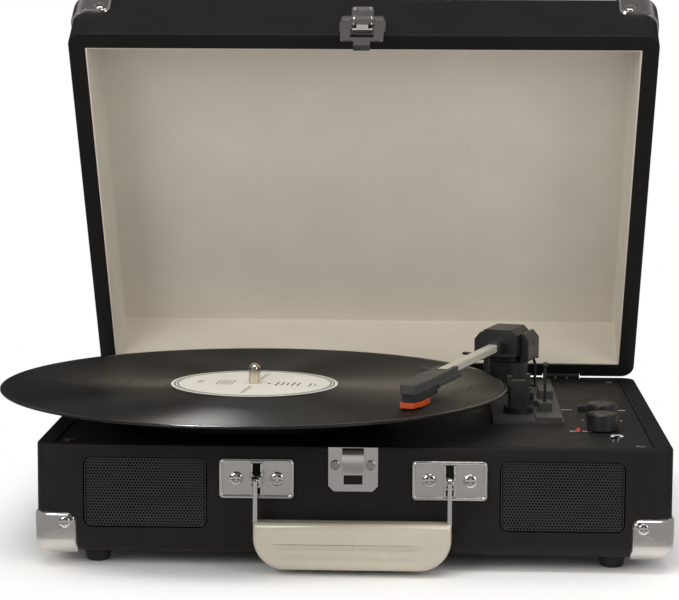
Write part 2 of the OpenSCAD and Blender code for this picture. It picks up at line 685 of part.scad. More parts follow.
module arm_pedestal() color([0.1, 0.1, 0.1]) translate([arm_x, arm_y, plate_z]) difference() {
    union() {
        cylinder(2, pedestal_r + 2.2, pedestal_r + 2.2);
        cylinder(pedestal_top - plate_z, pedestal_r, pedestal_r);
    }
    translate([0, 0, 1.5]) cylinder(60, 4 + fit, 4 + fit);
}

module speed_selector() color([0.12, 0.12, 0.12]) translate([selector_x, selector_y, 0]) {
    translate([-1.1, -1.8, board_z + 0.3]) cube([2.2, 3.6, plate_t + 5]);
    translate([-2.4, -2.4, plate_z + 3.4]) cube([4.8, 4.8, 4.4]);
}

module arm_rest() color([0.1, 0.1, 0.1]) translate([rest_x, rest_y, plate_z]) {
    cylinder(1.6, 9.3, 9.3);
    translate([0, 0, 1.6]) cylinder(1, 8.4, 8.4);
    translate([0, 0, 2.6]) cylinder(1.4, 9.1, 9.1);
    translate([0, 0, 4]) linear_extrude(deck_z + 17.6 - plate_z - 4) rrect(12.6, 11, 1.6);
    translate([-6.8, -4, deck_z + 17.6 - plate_z]) cube([13.6, 8, 3]);
    translate([-6.8, -3, deck_z + 20.6 - plate_z]) cube([2.4, 6, 2.6]);
    translate([4.4, -3, deck_z + 20.6 - plate_z]) cube([2.4, 6, 4]);
}

module cue_lever() color([0.12, 0.12, 0.12]) translate([cue_x, cue_y, 0]) {
    translate([-0.8, -1.1, cue_z - 1.8]) cube([1.6, 2.2, deck_z + 29 - cue_z]);
    translate([-0.8, 0, cue_z]) rotate([0, 90, 0]) cylinder(1.6, 1.8, 1.8);
    translate([-3.6, 0, cue_z]) rotate([0, 90, 0]) cylinder(7.2, 0.8, 0.8);
    translate([0, 0, deck_z + 28]) sphere(1.9);
}

module lift_bar() color([0.12, 0.12, 0.12]) {
    bar_post() translate([0, 0, -9]) cylinder(tube_z - tube_h / 2 - 2.1 - plate_z + 9, 2, 2);
    translate([arm_x, arm_y, tube_z - tube_h / 2 - 2.2]) rotate(-90 - 44) rotate_extrude(angle = 50)
        translate([bar_dist - 1.5, 0]) square([3, 1.6]);
}

module arm_turret() color([0.11, 0.11, 0.11]) difference() {
    arm_pose() {
        translate([0, 0, pedestal_top + clear]) cylinder(2, pedestal_r, pedestal_r);
        translate([0, 0, plate_z + 3]) cylinder(pedestal_top - plate_z - 2, 4, 4);
        for (x = [-1, 1]) translate([x * (cheek_in + cheek_out) / 2, 13, turret_floor - 2]) rotate([90, 0, 0])
            linear_extrude(26) side_cheek(x);
        translate([-cheek_out, 10.6, turret_floor - 2]) cube([2 * cheek_out, 2.4, 6]);
        translate([-cheek_out - 0.4, 0, tube_z]) rotate([0, 90, 0]) cylinder(2 * cheek_out + 0.8, 1.5, 1.5);
    }
    translate([arm_x, arm_y, 0]) rotate(lead_angle) translate([lead_dist - 10.4, 0, pedestal_top + 2])
        rotate([0, 90, 0]) cylinder(12, 0.9, 0.9);
}

module side_cheek(x) {
    w = cheek_out - cheek_in;
    h = tube_z + 7 - turret_floor + 2;
    mirror([x < 0 ? 1 : 0, 0]) polygon([[-w / 2, 0], [w / 2 - 1.5, 0], [w / 2, 1.5], [w / 2, h - 4.5],
        [w / 2 - 3.5, h], [-w / 2, h]]);
}

module arm_leads() color([0.1, 0.1, 0.1]) translate([arm_x, arm_y, 0]) rotate(lead_angle) {
    translate([lead_dist - 8, 0, pedestal_top - 6]) rotate([90, 0, 0]) rotate_extrude(angle = 90)
        translate([8, 0]) circle(0.9);
    translate([lead_dist, 0, board_z - 2]) cylinder(pedestal_top - 4 - board_z, 0.9, 0.9);
    translate([lead_dist - 10.3, 0, pedestal_top + 2]) rotate([0, 90, 0]) cylinder(2.3, 0.9, 0.9);
}

module arm_head() color([0.13, 0.13, 0.13]) arm_pose() difference() {
    union() {
        translate([0, 9.5, tube_z - 5.4]) rotate([90, 0, 0]) linear_extrude(31) chamfered(2 * head_half, 15.6, 3.6);
        translate([0, -21, tube_z - 3.6]) rotate([90, 0, 0]) linear_extrude(13) chamfered(9.4, 7, 1.6);
    }
    translate([-20, 0, tube_z]) rotate([0, 90, 0]) cylinder(40, 1.5 + fit, 1.5 + fit);
    translate([-tube_w / 2, -40, tube_z - tube_h / 2]) cube([tube_w, 20, tube_h]);
}

module arm_tube() color([0.78, 0.77, 0.74]) arm_pose()
    translate([0, -20, tube_z - tube_h / 2]) rotate([90, 0, 0])
        linear_extrude(shell_back + 14 - 20) chamfered(tube_w, tube_h, 0.7);

module headshell() color([0.3, 0.29, 0.28]) arm_pose() {
    difference() {
        union() {
            translate([0, 0, tube_z - 3.2]) linear_extrude(5.4) polygon([[-5.9, -shell_back], [-6.2, -shell_back - 40],
                [-4.9, -shell_front + 3], [-3.8, -shell_front], [4.2, -shell_front], [5.3, -shell_front + 3],
                [6.2, -shell_back - 40], [5.9, -shell_back]]);
            translate([5.2, -shell_back - 40.8, tube_z - 4.6]) cube([1.5, 44.8, 2.4]);
        }
        translate([-4.2, -shell_front + 10, tube_z - 6]) cube([8.4, shell_front - shell_back - 22, 5.4]);
        translate([-tube_w / 2, -shell_back - 14, tube_z - tube_h / 2]) cube([tube_w, 15, tube_h]);
        translate([-10, -shell_front - 6, tube_z + 2.6]) rotate([24, 0, 0]) cube([20, 8, 6]);
    }
    translate([-15.4, -shell_back - 6, tube_z - 0.4]) cube([9.9, 3.2, 1.1]);
    translate([-15.4, -shell_back - 6, tube_z - 0.4]) cube([1.3, 3.2, 2.2]);
}

module cartridge() color([0.1, 0.1, 0.1]) arm_pose() {
    translate([0, 0, tip_z + 4]) linear_extrude(4.8) polygon([[-5.6, -arm_len + 38], [-5.6, -arm_len + 8],
        [-3.4, -arm_len], [3.6, -arm_len], [5.8, -arm_len + 8], [5.8, -arm_len + 38]]);
    for (x = [-3.6, -1.2, 1.2, 3.6]) translate([x + 1, -arm_len + 37, tip_z + 6.4]) rotate([-90, 0, 0])
        cylinder(8, 0.5, 0.5);
}

module stylus_holder() color([0.82, 0.32, 0.08]) arm_pose() {
    translate([0, 0, tip_z + 1]) linear_extrude(2.95) polygon([[-6.2, -arm_len + 22], [-6, -arm_len + 8],
        [-3.9, -arm_len - 1.8], [4.1, -arm_len - 1.8], [6.2, -arm_len + 8], [6.4, -arm_len + 22]]);
    translate([0, -arm_len, tip_z + 0.02]) cylinder(1.2, 0.2, 0.7);
}

// ---- lid ----

module lid_shell() color([0.17, 0.16, 0.15]) lid_pose() difference() {
    translate([0, 0, rim_z + lid_h]) mirror([0, 0, 1]) case_solid(lid_h, 0);
    translate([-inner_w / 2, -case_d / 2 + side_wall, rim_z - 1])
        cube([inner_w, case_d - 2 * side_wall, lid_h - lid_panel_t + 1]);
    translate([0, 0, rim_z + lid_h]) mirror([0, 0, 1]) cap_screw_places() pilot(cap_t);
    hinge_notch();
}

module lid_lining() color([0.74, 0.71, 0.64]) lid_pose() difference() {
    translate([-inner_w / 2, -case_d / 2 + side_wall, rim_z + 0.6])
        cube([inner_w, case_d - 2 * side_wall, lid_h - lid_panel_t - 0.6]);
    translate([-inner_w / 2 + lining_t, -case_d / 2 + side_wall + lining_t, rim_z - 1])
        cube([inner_w - 2 * lining_t, case_d - 2 * side_wall - 2 * lining_t, lid_h - lid_panel_t + 1 - lining_t]);
}

module lid_corner_caps() color([0.75, 0.74, 0.72]) lid_pose()
    translate([0, 0, rim_z + lid_h]) mirror([0, 0, 1]) corner_caps(lid_h);

module lid_cap_screws() color([0.7, 0.69, 0.67]) lid_pose()
    translate([0, 0, rim_z + lid_h]) mirror([0, 0, 1]) cap_screw_places() screw(3.1, 1.1, 1.4, 6);

module hinge_lid_leaves() color([0.1, 0.1, 0.1]) lid_pose() for (x = [-1, 1]) translate([x * hinge_x, 0, 0])
    difference() {
        union() {
            translate([-3.7, hinge_y, hinge_z]) rotate([0, 90, 0]) cylinder(7.4, hinge_r, hinge_r);
            translate([-leaf_w / 2, rear_y, hinge_z + 2.9]) cube([leaf_w, 1.2, 10]);
            translate([-3.7, rear_y, hinge_z + 0.8]) cube([7.4, 1.2, 4]);
        }
        translate([-leaf_w, hinge_y, hinge_z]) rotate([0, 90, 0]) cylinder(2 * leaf_w, pivot_r + fit, pivot_r + fit);
    }

// The latch is drawn with its origin on the lid's front face, at the rim.
module latch_pose() lid_pose() translate([0, front_y, rim_z]) children();

// Backing plate with the ears and pins on which the hasp and the thumb lever turn.
module latch_plate() color([0.75, 0.74, 0.72]) latch_pose() {
    translate([0, 0, 8.2]) front_plate(latch_w, 16, 3.4, catch_t);
    difference() {
        union() {
            for (x = [-1, 1]) translate([x * 6.35 - 0.45, -hasp_out - 0.9, 0.2]) cube([0.9, hasp_out + 0.2, 2.8]);
            translate([-2, -hasp_pin_y - 1.3, hasp_pin_z - 1.3]) cube([4, hasp_pin_y + 0.5, 2.6]);
        }
        translate([-10, -hasp_pin_y, hasp_pin_z]) rotate([0, 90, 0]) cylinder(20, 0.9 + fit, 0.9 + fit);
    }
    translate([-6.6, -lever_pin_y, lever_pin_z]) rotate([0, 90, 0]) cylinder(13.2, 0.7, 0.7);
}

// Stamped frame with an open window, which hooks into the slot of the catch plate.
module latch_hasp() color([0.78, 0.77, 0.75]) latch_pose() {
    translate([0, -hasp_out, 0]) rotate([90, 0, 0]) difference() {
        linear_extrude(hasp_t) difference() {
            translate([0, 0.7]) rrect(hasp_w, 27.8, 2.4);
            translate([-7, -9.8]) square([14, 26]);
        }
        for (x = [-1, 1]) translate([x * 10, 1.8, hasp_t - 0.4]) linear_extrude(1) rrect(3.6, 19, 0.8);
    }
    translate([-hasp_w / 2 + 1, -hasp_pin_y, hasp_pin_z]) rotate([0, 90, 0]) cylinder(hasp_w - 2, 0.9, 0.9);
    translate([-4.9, -hasp_out - hasp_t, -hasp_len]) cube([9.8, hasp_t, 6]);
    translate([-4.9, -hasp_out - hasp_t, -hasp_len]) cube([9.8, hasp_out + hasp_t - 0.5, 1.1]);
}

module latch_lever() color([0.78, 0.77, 0.75]) latch_pose() difference() {
    union() {
        translate([3.5, 0, 0]) rotate([90, 0, -90]) linear_extrude(7) polygon([[lever_pin_y - 1.1, 0.6],
            [lever_pin_y + 0.6, 0], [lever_face, 1.6], [lever_face, 4], [lever_face - 1.1, 4],
            [lever_face - 1.1, 2.4], [lever_pin_y - 0.6, 2.3], [lever_pin_y - 1.1, 1.8]]);
        translate([0, 1.1 - lever_face, 12]) front_plate(lever_w, 18, 2.2, 1.1);
        translate([0, 1.1 - lever_face, 15.2]) difference() {
            front_plate(lever_w, 11.6, 2.2, 2);
            translate([0, 1, 0]) front_plate(lever_w - 2.2, 9.4, 1.2, 5);
        }
    }
    translate([-10, -lever_pin_y, lever_pin_z]) rotate([0, 90, 0]) cylinder(20, 0.7 + fit, 0.7 + fit);
}

base_tray();
corner_blocks();
motor_board();
board_screws();
grille_left();
grille_right();
speaker_baskets();
speaker_cones();
base_corner_caps();
case_screws();
rubber_feet();
hinge_base_leaves();
hinge_pins();
catch_plate();
catch_spring();
catch_rivets();
handle_brackets();
jack_panel();
rca_jacks();
aux_jack();
dc_jack();
main_pcb();
control_pots();
headphone_jack();
power_lamp();
autostop_slider();
drive_motor();
motor_pulley();
drive_belt();
bearing_bush();
platter();
slip_mat();
record();
record_label();
spindle();
volume_knob();
pitch_knob();
arm_plate();
arm_pedestal();
speed_selector();
arm_rest();
cue_lever();
lift_bar();
arm_turret();
arm_leads();
arm_head();
arm_tube();
headshell();
cartridge();
stylus_holder();
lid_shell();
lid_lining();
lid_corner_caps();
lid_cap_screws();
hinge_lid_leaves();
latch_plate();
latch_hasp();
latch_lever();
handle_grip();
handle_straps();
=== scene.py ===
# %% [markdown]
# A portable record player in a suitcase, with its lid open and a record on the platter. Every
# part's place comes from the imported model, which is loaded first and never moved. The visible
# skins, such as the covered case and the perforated grilles, are then built over it in the same
# frame, in metres, so that each one rides on the body that it belongs to.

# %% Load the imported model
import json
import math

import bmesh
import bpy
from mathutils import Matrix, Vector


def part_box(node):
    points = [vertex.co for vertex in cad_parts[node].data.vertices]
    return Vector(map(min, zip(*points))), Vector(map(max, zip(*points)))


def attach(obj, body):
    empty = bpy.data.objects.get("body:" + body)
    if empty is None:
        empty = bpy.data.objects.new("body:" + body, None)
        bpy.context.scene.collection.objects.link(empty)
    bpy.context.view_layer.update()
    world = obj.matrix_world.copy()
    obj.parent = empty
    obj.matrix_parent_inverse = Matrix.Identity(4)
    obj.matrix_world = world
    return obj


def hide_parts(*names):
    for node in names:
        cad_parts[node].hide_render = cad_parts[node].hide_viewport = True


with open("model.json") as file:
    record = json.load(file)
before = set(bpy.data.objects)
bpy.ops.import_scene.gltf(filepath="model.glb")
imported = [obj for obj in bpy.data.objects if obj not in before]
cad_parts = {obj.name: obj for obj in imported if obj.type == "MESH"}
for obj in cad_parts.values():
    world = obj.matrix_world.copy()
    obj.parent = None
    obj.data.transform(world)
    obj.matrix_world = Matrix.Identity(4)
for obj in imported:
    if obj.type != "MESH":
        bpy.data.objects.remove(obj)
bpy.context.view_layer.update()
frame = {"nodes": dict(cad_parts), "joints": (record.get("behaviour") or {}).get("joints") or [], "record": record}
MM = 0.001
joint_at = {j["name"]: Vector(j["pos_m"]) for j in frame["joints"] if "pos_m" in j}

# %% [markdown]
# The camera stands a little to the right of the middle and slightly above the record, far away
# with a long lens, so that the case looks nearly square on and the record is a thin ellipse.

# %% Camera
def look_from(place, pitch, yaw, roll, lens):
    """A camera at a place, turned down by pitch and left by yaw, in degrees."""
    data = bpy.data.cameras.new("camera")
    data.lens, data.sensor_width = lens, 36
    data.clip_end = 50
    camera = bpy.data.objects.new("camera", data)
    bpy.context.scene.collection.objects.link(camera)
    turn = (Matrix.Rotation(math.radians(yaw), 4, "Z")
            @ Matrix.Rotation(math.radians(90 - pitch), 4, "X")
            @ Matrix.Rotation(math.radians(roll), 4, "Z"))
    camera.matrix_world = Matrix.Translation(place) @ turn
    bpy.context.scene.camera = camera


look_from(Vector((0.04086, -1.39451, 0.30328)), pitch=6.8, yaw=2.22, roll=0.26,
          lens=2303.5 * 36 / 679)
bpy.context.scene.view_settings.view_transform = "Standard"

# %% [markdown]
# A finish is a material made of nodes. Most finishes here share three steps: a base colour that
# wanders a little between two tones, a roughness that wanders with it, and a fine grain that the
# light catches. The small helpers below add one step each, on the piece's own coordinates.

# %% Helpers for finishes
def finish(name, **sockets):
    """A material with one Principled shader, with these sockets set."""
    mat = bpy.data.materials.new(name)
    mat.use_nodes = True
    shader = mat.node_tree.nodes["Principled BSDF"]
    for socket, value in sockets.items():
        shader.inputs[socket.replace("_", " ")].default_value = value
    return mat


def add_node(tree, kind, **settings):
    made = tree.nodes.new(kind)
    for key, value in settings.items():
        setattr(made, key, value)
    return made


def spread(tree, source, low, high, kind="LINEAR"):
    """The source's stretch from low to high, laid out from 0 to 1."""
    span = add_node(tree, "ShaderNodeMapRange", interpolation_type=kind)
    span.inputs["From Min"].default_value, span.inputs["From Max"].default_value = low, high
    tree.links.new(source, span.inputs["Value"])
    return span.outputs[0]


def place_nodes(mat, scale):
    """Object coordinates, stretched by scale."""
    tree = mat.node_tree
    coords = tree.nodes.new("ShaderNodeTexCoord")
    mapping = tree.nodes.new("ShaderNodeMapping")
    mapping.inputs["Scale"].default_value = scale if hasattr(scale, "__len__") else (scale,) * 3
    tree.links.new(coords.outputs["Object"], mapping.inputs[0])
    return mapping.outputs[0]


def noise_of(mat, scale, detail=4, rough=0.55):
    """Soft noise in object coordinates."""
    tree = mat.node_tree
    noise = tree.nodes.new("ShaderNodeTexNoise")
    noise.inputs["Scale"].default_value = 1
    noise.inputs["Detail"].default_value = detail
    noise.inputs["Roughness"].default_value = rough
    tree.links.new(place_nodes(mat, scale), noise.inputs["Vector"])
    return noise.outputs[0]


def ramp_of(owner, source, stops):
    """A colour ramp on the source, in a material's or a world's tree."""
    tree = owner.node_tree
    ramp = tree.nodes.new("ShaderNodeValToRGB")
    tree.links.new(source, ramp.inputs[0])
    line = ramp.color_ramp
    while len(line.elements) < len(stops):
        line.elements.new(0.5)
    for element, (place, colour) in zip(line.elements, stops):
        element.position = place
        element.color = (*colour, 1) if hasattr(colour, "__len__") else (colour, colour, colour, 1)
    return ramp.outputs[0]


def wander_colour(mat, channel_shade, light, scale=60):
    """Base colour between two tones, in soft patches."""
    tree = mat.node_tree
    colour = ramp_of(mat, noise_of(mat, scale), [(0.3, channel_shade), (0.7, light)])
    tree.links.new(colour, tree.nodes["Principled BSDF"].inputs["Base Color"])
    return mat


def wander_gloss(mat, low, high, scale=90):
    """Roughness between two values, as rubbed and untouched places have."""
    tree = mat.node_tree
    tree.links.new(ramp_of(mat, noise_of(mat, scale), [(0.3, low), (0.7, high)]),
                   tree.nodes["Principled BSDF"].inputs["Roughness"])
    return mat


def grain(mat, height_from, depth):
    """A fine relief in the surface."""
    tree = mat.node_tree
    bump = tree.nodes.new("ShaderNodeBump")
    bump.inputs["Strength"].default_value = 1
    bump.inputs["Distance"].default_value = depth
    tree.links.new(height_from, bump.inputs["Height"])
    tree.links.new(bump.outputs[0], tree.nodes["Principled BSDF"].inputs["Normal"])
    return mat


def pebbles(mat, scale):
    """Rounded pebbles with narrow creases between them, as leather has."""
    tree = mat.node_tree
    cells = tree.nodes.new("ShaderNodeTexVoronoi")
    cells.feature = "SMOOTH_F1"
    cells.inputs["Scale"].default_value = 1
    cells.inputs["Smoothness"].default_value = 0.6
    tree.links.new(place_nodes(mat, scale), cells.inputs["Vector"])
    return ramp_of(mat, cells.outputs["Distance"], [(0.0, 1.0), (0.75, 0.0)])


# %% [markdown]
# The studio is white all round. The background that is seen is plain white, and the light that
# falls on the object from it is weaker, or black finishes would look grey. The floor is pale and
# fades out far from the object, so that no horizon shows.

# %% Studio
def studio_world(seen, lit, mirrored):
    """A white room, with its own strength for what is seen, what is lit and what is mirrored."""
    world = bpy.data.worlds.new("studio")
    bpy.context.scene.world = world
    world.use_nodes = True
    tree = world.node_tree
    tree.nodes.clear()
    out = tree.nodes.new("ShaderNodeOutputWorld")
    path = tree.nodes.new("ShaderNodeLightPath")

    def plain(strength, shade=None):
        back = tree.nodes.new("ShaderNodeBackground")
        back.inputs["Color"].default_value = (1, 0.995, 0.985, 1)
        back.inputs["Strength"].default_value = strength
        if shade is not None:
            tree.links.new(shade, back.inputs["Color"])
        return back.outputs[0]

    # What the bright parts mirror: a pale floor, a dark room at eye height and a bright ceiling.
    way = tree.nodes.new("ShaderNodeTexCoord")
    height = tree.nodes.new("ShaderNodeSeparateXYZ")
    tree.links.new(way.outputs["Generated"], height.inputs[0])
    room = ramp_of(world, spread(tree, height.outputs[2], -1, 1), [
        (0.0, 0.5), (0.36, 0.45), (0.44, 1.0), (0.485, 0.85), (0.51, 0.1), (0.62, 0.06), (0.70, 0.12),
        (0.76, 0.75), (0.86, 0.3), (1.0, 0.2)])

    shown = plain(lit)
    for ray, strength in (("Is Glossy Ray", mirrored), ("Is Camera Ray", seen)):
        mix = tree.nodes.new("ShaderNodeMixShader")
        tree.links.new(path.outputs[ray], mix.inputs[0])
        tree.links.new(shown, mix.inputs[1])
        tree.links.new(plain(strength, room if ray == "Is Glossy Ray" else None), mix.inputs[2])
        shown = mix.outputs[0]
    tree.links.new(shown, out.inputs[0])


def softbox(name, place, aim, size, power, tint=(1, 0.985, 0.96)):
    """A flat lamp at a place, turned to face its aim."""
    data = bpy.data.lights.new(name, "AREA")
    data.shape, data.size, data.size_y = "RECTANGLE", size[0], size[1]
    data.energy, data.color = power, tint
    lamp = bpy.data.objects.new(name, data)
    bpy.context.scene.collection.objects.link(lamp)
    lamp.location = place
    lamp.rotation_euler = (Vector(aim) - Vector(place)).to_track_quat("-Z", "Y").to_euler()
    return lamp


studio_world(seen=1.0, lit=0.85, mirrored=0.55)
softbox("overhead", (0.0, -0.5, 1.5), (0, 0.02, 0.1), (1.2, 0.35), 8)
groove_light = softbox("back_left", (-0.34, 0.78, 1.5), (-0.06, -0.03, 0.09), (0.24, 0.24), 17)
softbox("front_left", (-1.0, -1.5, 0.9), (0, 0, 0.1), (0.8, 0.8), 10)
softbox("front_right", (1.2, -1.2, 0.7), (0, 0, 0.12), (0.5, 0.9), 5)

# %% [markdown]
# The case is wrapped in black leatherette, a vinyl cloth with a fine pebbled grain and a low
# sheen. The lid is lined with a flocked paper in a warm grey, which has no gloss at all.

# %% Coverings
covering = finish("black_leatherette", Specular_IOR_Level=0.2)
wander_colour(covering, (0.0088, 0.0074, 0.0066), (0.0115, 0.0098, 0.0089), 45)
wander_gloss(covering, 0.5, 0.62, 140)
grain(covering, pebbles(covering, 1500), 0.00006)

lining = finish("flocked_lining", Specular_IOR_Level=0.12, Sheen_Weight=0.15)
wander_colour(lining, (0.63, 0.58, 0.492), (0.67, 0.618, 0.527), 25)
wander_gloss(lining, 0.85, 0.97)
grain(lining, noise_of(lining, 2600, 2), 0.00005)

# %% [markdown]
# The metal fittings are steel with a satin nickel plate. It is made by rolling, so its fine lines
# run along one way, and a slightly uneven gloss stands for handling.

# %% Metals
def plated(name, tone, low, high, lines=(300, 300, 4000), depth=0.000004):
    mat = finish(name, Metallic=1.0)
    wander_colour(mat, tuple(t * 0.94 for t in tone), tone, 70)
    wander_gloss(mat, low, high, 160)
    return grain(mat, noise_of(mat, lines, 2), depth)


nickel = plated("satin_nickel", (0.68, 0.645, 0.615), 0.16, 0.24)
bright_nickel = plated("bright_nickel", (0.8, 0.77, 0.73), 0.08, 0.14)
plain_steel = plated("plain_steel", (0.45, 0.44, 0.42), 0.3, 0.42)
turned_brass = plated("turned_brass", (0.72, 0.58, 0.3), 0.22, 0.32)
spindle_steel = plated("spindle_steel", (0.78, 0.7, 0.58), 0.12, 0.2)
black_screw = plated("black_screw", (0.4, 0.39, 0.38), 0.2, 0.3)
black_paint = finish("black_paint", Specular_IOR_Level=0.5)
wander_colour(black_paint, (0.012, 0.0115, 0.011), (0.016, 0.0155, 0.015))
wander_gloss(black_paint, 0.38, 0.5)
grain(black_paint, noise_of(black_paint, 1800, 3), 0.00002)
matt_black = finish("matt_black", Specular_IOR_Level=0.1)
wander_colour(matt_black, (0.004, 0.004, 0.004), (0.006, 0.006, 0.006))
wander_gloss(matt_black, 0.7, 0.85)
silver_paint = finish("silver_paint", Metallic=0.5)
wander_colour(silver_paint, (0.68, 0.64, 0.55), (0.74, 0.7, 0.6))
wander_gloss(silver_paint, 0.3, 0.4)

# %% [markdown]
# The black parts are moulded in three finishes: a fine spark-eroded texture on the deck, a satin
# one on the arm and the knobs, and plain rubber on the feet and the belt.

# %% Plastics, rubber, paper and wood
def moulded(name, channel_shade, light, low, high, scale=2200, depth=0.00002, **sockets):
    mat = finish(name, **sockets)
    wander_colour(mat, channel_shade, light)
    wander_gloss(mat, low, high)
    return grain(mat, noise_of(mat, scale, 2), depth)


deck_black = moulded("deck_black", (0.01, 0.009, 0.0082), (0.013, 0.012, 0.011), 0.5, 0.62, 1600,
                     0.00004, Specular_IOR_Level=0.28)
satin_black = moulded("satin_black", (0.011, 0.011, 0.0115), (0.015, 0.015, 0.0155), 0.3, 0.42)
plate_black = moulded("plate_black", (0.034, 0.032, 0.031), (0.044, 0.041, 0.04), 0.4, 0.5)
shell_grey = moulded("shell_grey", (0.036, 0.035, 0.033), (0.048, 0.047, 0.044), 0.42, 0.55)
rubber = moulded("rubber", (0.01, 0.01, 0.01), (0.014, 0.014, 0.014), 0.7, 0.85)
felt = moulded("felt", (0.012, 0.012, 0.012), (0.022, 0.022, 0.022), 0.9, 0.98, 3000, 0.0002)
paper_black = moulded("cone_paper", (0.012, 0.012, 0.012), (0.018, 0.018, 0.018), 0.8, 0.9)
orange = moulded("stylus_orange", (0.46, 0.055, 0.006), (0.55, 0.075, 0.01), 0.25, 0.35,
                 Subsurface_Weight=0.05)
cream = moulded("grip_cream", (0.43, 0.388, 0.31), (0.46, 0.415, 0.332), 0.2, 0.28, 700, 0.000012,
                Coat_Weight=1.0, Coat_Roughness=0.12)
lamp_red = moulded("lamp_red", (0.5, 0.02, 0.015), (0.6, 0.03, 0.02), 0.15, 0.2)
board_green = moulded("board_green", (0.01, 0.09, 0.03), (0.015, 0.13, 0.045), 0.3, 0.4)
raw_wood = moulded("raw_wood", (0.42, 0.27, 0.14), (0.58, 0.4, 0.22), 0.7, 0.85, (60, 60, 900), 0.0001)
white_ink = moulded("white_ink", (0.75, 0.75, 0.73), (0.82, 0.82, 0.8), 0.5, 0.6)
grille_black = moulded("grille_black", (0.014, 0.0125, 0.012), (0.019, 0.017, 0.0165), 0.35, 0.45)

# %% [markdown]
# Most CAD nodes have the right shape and only need their finish.

# %% Finishes on the CAD nodes
finish_of = {
    "base_tray": covering, "lid_shell": covering, "lid_lining": lining, "corner_blocks": raw_wood,
    "motor_board": deck_black, "board_screws": black_screw, "grille_left": grille_black,
    "grille_right": grille_black, "speaker_baskets": black_paint, "speaker_cones": paper_black,
    "base_corner_caps": nickel, "case_screws": bright_nickel, "rubber_feet": rubber,
    "hinge_base_leaves": black_paint, "hinge_pins": plain_steel, "catch_plate": nickel,
    "catch_spring": bright_nickel, "catch_rivets": plain_steel, "handle_brackets": nickel,
    "jack_panel": satin_black, "rca_jacks": bright_nickel, "aux_jack": satin_black,
    "dc_jack": satin_black, "main_pcb": board_green, "control_pots": plain_steel,
    "headphone_jack": bright_nickel, "power_lamp": lamp_red, "autostop_slider": satin_black,
    "drive_motor": plain_steel, "motor_pulley": turned_brass, "drive_belt": rubber,
    "bearing_bush": turned_brass, "platter": matt_black, "slip_mat": felt, "record": satin_black,
    "record_label": white_ink, "spindle": spindle_steel, "volume_knob": satin_black,
    "pitch_knob": satin_black, "arm_plate": plate_black, "arm_pedestal": satin_black,
    "speed_selector": satin_black, "arm_rest": satin_black, "cue_lever": satin_black,
    "lift_bar": satin_black, "arm_turret": satin_black, "arm_leads": satin_black,
    "arm_head": satin_black, "arm_tube": silver_paint, "headshell": shell_grey,
    "cartridge": satin_black, "stylus_holder": orange, "lid_corner_caps": nickel,
    "lid_cap_screws": bright_nickel, "hinge_lid_leaves": black_paint, "latch_plate": nickel,
    "latch_hasp": nickel, "latch_lever": bright_nickel, "handle_grip": cream,
    "handle_straps": bright_nickel,
}
for node, mat in finish_of.items():
    mesh = frame["nodes"][node].data
    mesh.materials.clear()
    mesh.materials.append(mat)
print(len(finish_of), "nodes have their finish")

# %% [markdown]
# Every new piece is finished in the same way: its mesh is put in place, its soft and sharp edges
# are told apart by angle, and it rides on the body of the node that it stands for.

# %% Helpers for pieces
def shade(mesh, angle=40):
    """Smooth faces, with every edge sharper than the angle kept sharp."""
    mesh.shade_smooth()
    if angle:
        mesh.set_sharp_from_angle(angle=math.radians(angle))


def piece_from(name, mesh, mat, smooth=30):
    """An object at the origin, with its place in its mesh."""
    mesh.materials.clear()
    mesh.materials.append(mat)
    shade(mesh, smooth)
    obj = bpy.data.objects.new(name, mesh)
    bpy.context.scene.collection.objects.link(obj)
    return obj


def mesh_from(name, form):
    mesh = bpy.data.meshes.new(name)
    form.to_mesh(mesh)
    form.free()
    return mesh


def add_form(form, part):
    """Adds one form's faces to another and frees it."""
    mesh = mesh_from("part", part)
    form.from_mesh(mesh)
    bpy.data.meshes.remove(mesh)


def add_piece(form, obj):
    """Adds a piece's faces to a form and takes the piece away."""
    form.from_mesh(obj.data)
    bpy.data.objects.remove(obj)


def applied(obj):
    """The object's mesh with its modifiers in it."""
    bpy.context.view_layer.update()
    graph = bpy.context.evaluated_depsgraph_get()
    mesh = bpy.data.meshes.new_from_object(obj.evaluated_get(graph), depsgraph=graph)
    obj.modifiers.clear()
    obj.data = mesh
    return obj


def carve(obj, tool, how="DIFFERENCE"):
    """Cuts the tool out of a piece, or keeps only what is inside it, and takes the tool away."""
    cut = obj.modifiers.new("carve", "BOOLEAN")
    cut.operation, cut.object, cut.solver = how, tool, "EXACT"
    applied(obj)
    bpy.data.objects.remove(tool)
    return obj


def ease_edges(obj, width, rounds=2, angle=40):
    """Rounds the edges that are sharper than the angle."""
    bevel = obj.modifiers.new("ease", "BEVEL")
    bevel.width, bevel.segments = width, rounds
    bevel.limit_method, bevel.angle_limit = "ANGLE", math.radians(angle)
    even = obj.modifiers.new("even", "WEIGHTED_NORMAL")
    even.keep_sharp = True
    return applied(obj)


def stands_for(obj, *nodes):
    """The piece rides with the nodes that it stands for, which are hidden."""
    bodies = frame["record"]["behaviour"]["bodies"]
    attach(obj, next(body for body, held in bodies.items() if nodes[0] in held))
    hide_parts(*nodes)
    return obj


def eased_copy(node, width):
    """A copy of a CAD node with its sharp edges broken, as stamped and moulded parts have."""
    form = bmesh.new()
    form.from_mesh(frame["nodes"][node].data)
    bmesh.ops.remove_doubles(form, verts=form.verts, dist=1e-6)
    bmesh.ops.dissolve_limit(form, angle_limit=math.radians(1), verts=form.verts, edges=form.edges)
    obj = piece_from(node + "_eased", mesh_from(node, form), finish_of[node])
    return stands_for(ease_edges(obj, width), node)


lid_hinge = joint_at["lid_hinge"]
LID_ANGLE = -58.4
lid_open = (Matrix.Translation(lid_hinge) @ Matrix.Rotation(math.radians(LID_ANGLE), 4, "X")
            @ Matrix.Translation(-lid_hinge))

